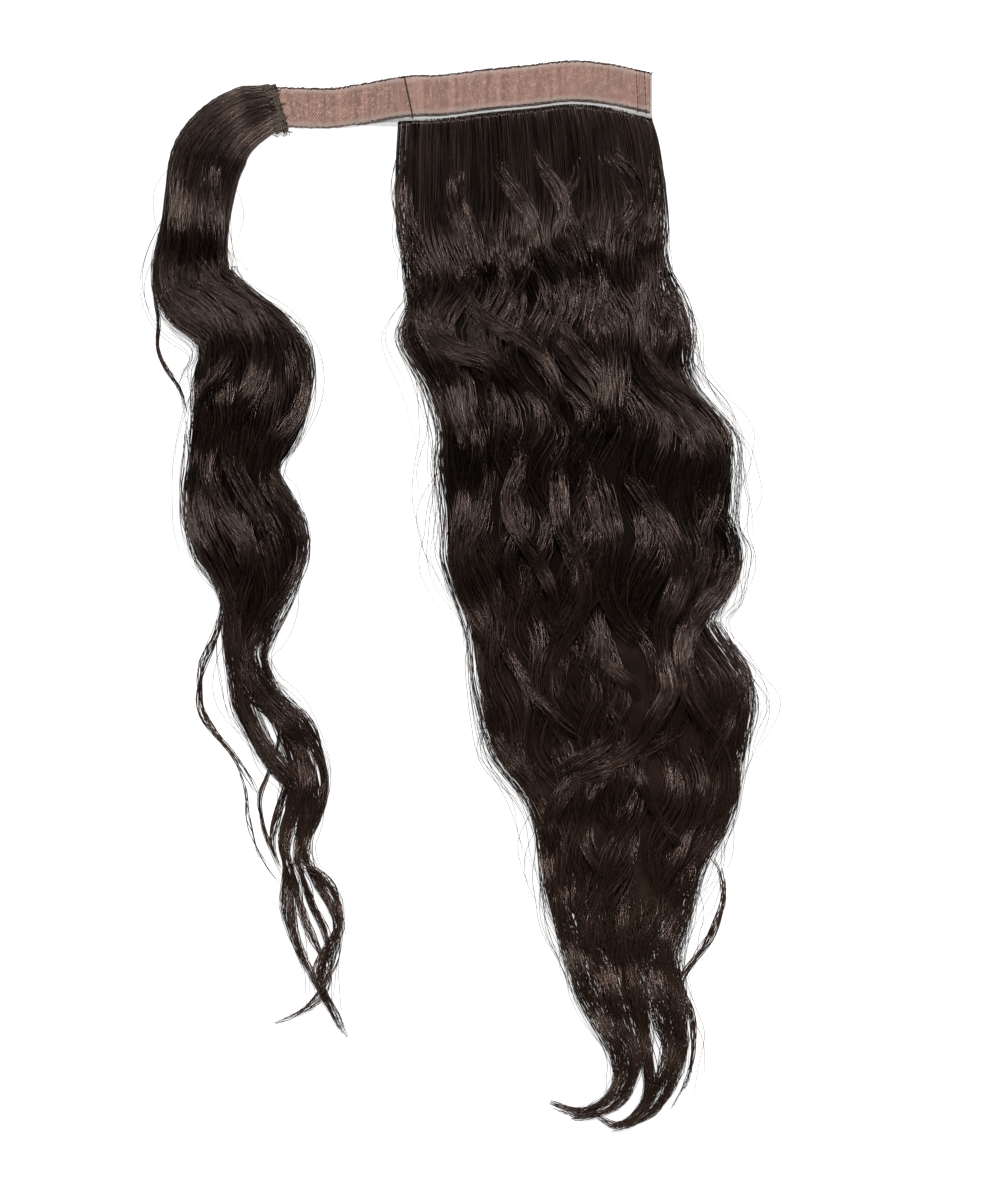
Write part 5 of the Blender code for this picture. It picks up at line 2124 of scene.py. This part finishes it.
def hair_bed(body: HairBody, columns: int, rows: int, finish: HairFinish) -> bpy.types.Object:
    """The dark mass under a body's strands.

    Args:
        body: the body of hair.
        columns: faces across it.
        rows: faces along it.
        finish: the hair's finish.

    Returns:
        The piece.
    """
    piece = slab(body.name + "_bed", columns, rows)
    flat = mesh_points(piece)
    share = 1 - flat[:, 1]
    place = 0.035 + 0.93 * flat[:, 0]
    down = -0.012 + (body.bed_end + 0.012) * share
    narrow = 1 - 0.88 * smooth_step((down - body.bed_end + body.bed_taper) / body.bed_taper)
    plan, _ = body.ground(0.5 + (place - 0.5) * narrow, down)
    low = 1 - 0.75 * smooth_step((down - body.bed_end + 0.12) / 0.12)
    top = body.height(down) * body.crown(place) * body.bed_height * low
    top += 0.45 * body.relief(plan[:, 0], plan[:, 1]) * body.crown(place) * smooth_step(down / 0.1) * low
    underside, least_top = 0.3 * MM, 0.8 * MM
    z = np.where(flat[:, 2] > 0.5, np.maximum(top, least_top), underside)
    place_points(piece, np.stack((plan[:, 0], plan[:, 1], z), axis=-1))
    face_outwards(piece)
    uv_from(piece, BED_UV, flat[:, :2])
    return finish_piece(piece, finish.material(body.name + " bed", of_strands=False), body.node)


def lay_hair(body: HairBody, stations: int, part_stations: int, finish: HairFinish, pieces: int,
             lock_pieces: int) -> None:
    """Lays a body's strands, split into pieces that stay small.

    Args:
        body: the body of hair.
        stations: points along a full strand.
        part_stations: points along a shorter one.
        finish: the hair's finish.
        pieces: how many pieces the full strands are split into.
        lock_pieces: how many pieces the traced locks are split into.
    """
    rng = np.random.default_rng(body.seed)
    material = finish.material(body.name + " strands", of_strands=True)
    count = body.full
    ends = 1 - 0.26 * rng.uniform(0, 1, count) ** 1.4
    full = body.strands(rng, count, stations, (np.full(count, body.start), ends), Depth.OUTER)
    half = count // pieces
    for n in range(pieces):
        stop = count if n == pieces - 1 else (n + 1) * half
        strand_piece(f"{body.name}_strands_{n}", [full.part(n * half, stop)], material, body.node)
    count = body.part
    starts = rng.uniform(body.start, 0.55, count)
    ends = starts + rng.uniform(0.22, 0.5, count)
    part = body.strands(rng, count, part_stations, (starts, np.minimum(ends, 1.0)), Depth.INNER)
    strand_piece(f"{body.name}_under_strands", [part], material, body.node)
    share = (len(body.paths) + lock_pieces - 1) // lock_pieces
    for n in range(lock_pieces):
        some = body.paths[n * share:(n + 1) * share]
        locks = [path_strands(path, rng, body.radius, 2.0 * MM) for path in some]
        strand_piece(f"{body.name}_locks_{n}", locks, material, body.node)


def flyaways(body: HairBody, count: int, stations: int, rng: np.random.Generator, reach: float) -> Strands:
    """Fine loose strands that stray outside a body's sides.

    Args:
        body: the body of hair.
        count: how many.
        stations: points along each.
        rng: the source of chance.
        reach: how far the furthest stray.

    Returns:
        The strands.
    """
    side = np.where(rng.uniform(0, 1, count) < 0.5, 0.0, 1.0)
    start = rng.uniform(0.03, 0.82, count)
    span = rng.uniform(0.06, 0.26, count)
    along = np.linspace(0, 1, stations)[None, :]
    down = np.minimum(start[:, None] + span[:, None] * along, 0.97)
    place = side[:, None] + np.zeros_like(down)
    plan, across = body.ground(place, down)
    rooted = 3.0 * MM
    far = rng.uniform(0, 1, (count, 1)) ** 2 * reach
    bow = np.sin(math.pi * along ** rng.uniform(0.7, 1.4, (count, 1)))
    free_end = rng.uniform(0, 1, (count, 1)) < 0.35
    bulge = (far + rooted) * np.where(free_end, smooth_step(along * 1.1), bow) - rooted
    bulge += Wave(1.0, 25, 60).along(rng, down * body.length)
    edge_out = np.where(place > 0.5, 1.0, -1.0)
    plan = plan + across * (bulge * edge_out)[..., None]
    z = 0.35 * body.height(down) + rng.uniform(-2, 2, (count, 1)) * MM
    z += Wave(1.0, 40, 90).along(rng, down * body.length)
    z = np.clip(z, 0.4 * MM, 9 * MM)
    points = np.concatenate((plan, z[..., None]), axis=-1)
    radii = tapered(np.full(count, 0.14 * MM), stations, 0.5)
    return Strands(points, radii, rng.uniform(0.3, 1, count))


def crest(points: tuple[tuple[float, float], ...], rise: float, fall: float, height: float) -> Crest:
    """A swell from millimetres."""
    left, middle, right = (tuple(value * MM for value in point) for point in points)
    return Crest(left, middle, right, rise * MM, fall * MM, height * MM)


@dataclass(frozen=True)
class LockPlan:
    """How chance divides a body's hair into locks. Pairs are the least and the greatest value.

    Args:
        seed: seed of its chance.
        count: how many locks there are.
        shift: how far a lock's foot strays from its root, in shares of the body's width.
        margin: how near to the body's edges a foot may lie.
        width: half width in shares of the body's width.
        layer: share of the body's height that a lock's crown reaches.
        swing: height of the sideways waves, in millimetres.
        calm: how much less the outermost locks swing.
        lift: height of the up-and-down waves, in millimetres.
        wave: length of the waves, in millimetres.
        lag: how far the waves' phase falls back across the body, in turns.
        spread: how far the phases differ by chance, in turns.
    """

    seed: int
    count: int
    shift: float
    margin: float
    width: tuple[float, float]
    layer: tuple[float, float]
    swing: tuple[float, float]
    lift: tuple[float, float]
    lag: float
    spread: float
    calm: float = 0.0
    wave: tuple[float, float] = (55, 64)

    def clumps(self, tips: int) -> list[Clump]:
        """The locks.

        Args:
            tips: how many tip locks they run into.

        Returns:
            The locks from left to right.
        """
        rng = np.random.default_rng(self.seed)
        found = []
        for number in range(self.count):
            root = (number + 0.5) / self.count
            foot = float(np.clip(root + rng.normal(0, self.shift), self.margin, 1 - self.margin))
            if number in (0, self.count - 1):
                foot = root
            tip = min(int(foot * tips), tips - 1)
            outwards = abs(2 * root - 1)
            found.append(Clump(
                root=root,
                foot=foot,
                width=rng.uniform(*self.width),
                layer=rng.uniform(*self.layer),
                swing=rng.uniform(*self.swing) * MM * (1 - self.calm * outwards ** 3),
                lift=rng.uniform(*self.lift) * MM,
                wave=rng.uniform(*self.wave) * MM,
                phase=-self.lag * root + rng.normal(0, self.spread),
                tip=tip,
                slot=2 * (foot * tips - tip) - 1,
            ))
        return found


def make_tail() -> TailHair:
    """The tail, with its locks and swells."""
    plan = LockPlan(2026, 26, shift=0.07, margin=0.01, width=(0.024, 0.036), layer=(0.74, 1.0),
                    swing=(3.5, 7.0), lift=(1.2, 2.4), lag=0.45, spread=0.13, calm=0.5)
    crests = (
        crest(((-14, 162), (12, 156), (46, 158)), 30, 6, 1.5),
        crest(((44, 166), (62, 162), (88, 167)), 28, 6, 1.3),
        crest(((-30, 163), (-20, 158), (-8, 157)), 26, 8, 1.0),
        crest(((-14, 126), (10, 115), (32, 112)), 24, 10, 2.0),
        crest(((48, 100), (70, 86), (90, 82)), 36, 10, 2.2),
        crest(((-2, 84), (14, 79), (32, 80)), 18, 10, 1.6),
        crest(((108, 66), (126, 62), (142, 66)), 30, 12, 2.0),
        crest(((-6, 24), (12, 16), (28, 18)), 26, 10, 1.6),
        crest(((60, 20), (80, 12), (100, 14)), 28, 12, 1.6),
        crest(((104, 0), (120, -6), (136, -2)), 26, 12, 1.6),
        crest(((6, -50), (26, -60), (46, -54)), 22, 8, 1.8),
        crest(((62, -56), (86, -64), (108, -60)), 22, 8, 1.8),
        crest(((28, -92), (50, -102), (70, -96)), 22, 8, 2.2),
        crest(((88, -90), (104, -102), (120, -96)), 22, 8, 2.2),
        crest(((20, -132), (44, -140), (66, -134)), 22, 8, 2.0),
        crest(((80, -128), (98, -138), (112, -132)), 22, 8, 2.0),
        crest(((36, -172), (60, -180), (86, -174)), 20, 8, 1.8),
    )
    tail = TailHair("tail", "tail_hair", length=509 * MM, thickness=18.5 * MM, seed=11, full=520, part=260,
                    clumps=plan.clumps(len(TAIL_TIPS)), crests=crests, tip_start=0.825, bed_end=0.885,
                    bed_taper=0.15)
    tail.tips = tuple(tail.follow(traced, 3 * MM, on_body=False) for traced in TAIL_TIPS)
    tail.paths = tuple(tail.follow(traced, 4 * MM) for traced in TAIL_TRACED) + tail.end_locks(66, 2.4 * MM)
    return tail


def make_wrap() -> WrapHair:
    """The wrap lock, with its locks and swells."""
    plan = LockPlan(404, 8, shift=0.12, margin=0.02, width=(0.08, 0.12), layer=(0.76, 1.0),
                    swing=(1.5, 3.5), lift=(0.9, 1.8), lag=0.3, spread=0.10)
    crests = (
        crest(((-146, 186), (-128, 180), (-110, 184)), 24, 8, 1.6),
        crest(((-130, 98), (-106, 92), (-76, 104)), 26, 10, 1.6),
    )
    wrap = WrapHair("wrap", "wrap_hair", length=465 * MM, thickness=13 * MM, seed=23, full=240, part=80,
                    clumps=plan.clumps(len(WRAP_TIPS)), crests=crests, tip_start=0.80, bed_end=0.66)
    wrap.tips = tuple(wrap.follow(traced, 2 * MM, on_body=False) for traced in WRAP_TIPS)
    wrap.paths = tuple(wrap.follow(traced, 2.8 * MM) for traced in WRAP_TRACED) + wrap.end_locks(10, 2 * MM)
    return wrap


# Studio

@dataclass(frozen=True)
class SoftLight:
    """A square soft light.

    Args:
        name: its name.
        place: where it hangs.
        size: its side length.
        power: its power in watts.
    """

    name: str
    place: tuple[float, float, float]
    size: float
    power: float

    def hang(self, aim: tuple[float, float]) -> None:
        """Hangs the light so that it faces a point of the floor.

        Args:
            aim: the point in plan.
        """
        light = bpy.data.lights.new(self.name, "AREA")
        light.shape = "SQUARE"
        light.size = self.size
        light.energy = self.power
        lamp = bpy.data.objects.new(self.name, light)
        lamp.location = self.place
        ahead, beside, drop = (*aim, 0.0) - np.array(self.place)
        tip = math.atan2(math.hypot(ahead, beside), -drop)
        lamp.rotation_euler = (tip, 0.0, math.atan2(beside, ahead) - math.pi / 2)
        bpy.context.scene.collection.objects.link(lamp)


@dataclass
class Studio:
    """White floor, soft lights and a camera that looks straight down.

    Args:
        aim: plan point under the camera.
        camera_height: the camera's height.
        lens: its focal length in millimetres.
        sensor: its sensor's width in millimetres.
        floor_size: side length of the floor.
        glow: how bright the floor is to the camera by itself.
        ambient: strength of the light from all round.
        lights: the lights.
    """

    aim: tuple[float, float] = (23.0 * MM, -1.0 * MM)
    camera_height: float = 3.0
    lens: float = 180.0
    sensor: float = 36.0
    floor_size: float = 9.0
    glow: float = 0.62
    ambient: float = 0.05
    lights: tuple[SoftLight, ...] = (
        SoftLight("key", (0.10, 1.35, 3.0), 0.6, 52.0),
        SoftLight("left", (-1.7, 1.6, 2.3), 0.7, 21.0),
        SoftLight("right", (1.8, 1.5, 2.3), 0.7, 21.0),
    )

    def floor(self) -> None:
        """Lays the floor."""
        deselect()
        bpy.ops.mesh.primitive_grid_add(
            x_subdivisions=8, y_subdivisions=8, size=self.floor_size, location=(0, 0, 0))
        ground = bpy.context.object
        ground.name = "floor"
        settle(ground)
        material, nodes, shader = new_finish("white floor")
        cloud = nodes.noise(nodes.add("TexCoord").outputs["Object"], 3.0)
        seen = nodes.add("LightPath").outputs["Is Camera Ray"]
        nodes.feed(shader, {
            "Base Color": nodes.blend(cloud, opaque((0.955, 0.955, 0.955)), opaque((0.965, 0.965, 0.965))),
            "Roughness": 0.9,
            "Specular IOR Level": 0.0,
            "Emission Color": opaque((1.0, 1.0, 1.0)),
            "Emission Strength": nodes.math("MULTIPLY", seen, self.glow),
        })
        ground.data.materials.append(material)

    def build(self) -> None:
        """Sets up floor, lights, background and camera."""
        self.floor()
        for light in self.lights:
            light.hang(self.aim)
        world = bpy.data.worlds.new("studio")
        world.use_nodes = True
        background = world.node_tree.nodes["Background"]
        background.inputs["Color"].default_value = opaque((1.0, 1.0, 1.0))
        background.inputs["Strength"].default_value = self.ambient
        bpy.context.scene.world = world
        bpy.context.scene.view_settings.view_transform = "Standard"
        camera = bpy.data.cameras.new("camera")
        camera.lens = self.lens
        camera.sensor_width = self.sensor
        eye = bpy.data.objects.new("camera", camera)
        eye.location = (*self.aim, self.camera_height)
        bpy.context.scene.collection.objects.link(eye)
        bpy.context.scene.camera = eye


def main() -> None:
    """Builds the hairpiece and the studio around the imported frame."""
    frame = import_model()
    log.info("frame: %d CAD nodes", len(frame["nodes"]))
    finish = HairFinish()
    tail = make_tail()
    wrap = make_wrap()
    hair_bed(tail, 30, 110, finish)
    lay_hair(tail, 70, 34, finish, 2, 2)
    hair_bed(wrap, 18, 90, finish)
    lay_hair(wrap, 62, 30, finish, 1, 1)
    rng = np.random.default_rng(99)
    loose = finish.material("loose strands", of_strands=True)
    strand_piece("tail_flyaways", [flyaways(tail, 130, 36, rng, 11 * MM)], loose, "tail_hair")
    strand_piece("wrap_flyaways", [flyaways(wrap, 70, 32, rng, 8 * MM)], loose, "wrap_hair")
    tape = HookTape()
    tape.build()
    BackingStrip().build()
    Stitching(tape).build()
    WrapWeft().build()
    Studio().build()
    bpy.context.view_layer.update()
    faces = [face for piece in bpy.data.objects if piece.type == "MESH" for face in piece.data.polygons]
    log.info("all: %d triangles", sum(len(face.vertices) - 2 for face in faces))


if __name__ == "__main__":
    logging.basicConfig(level=logging.INFO, format="%(message)s")
    main()
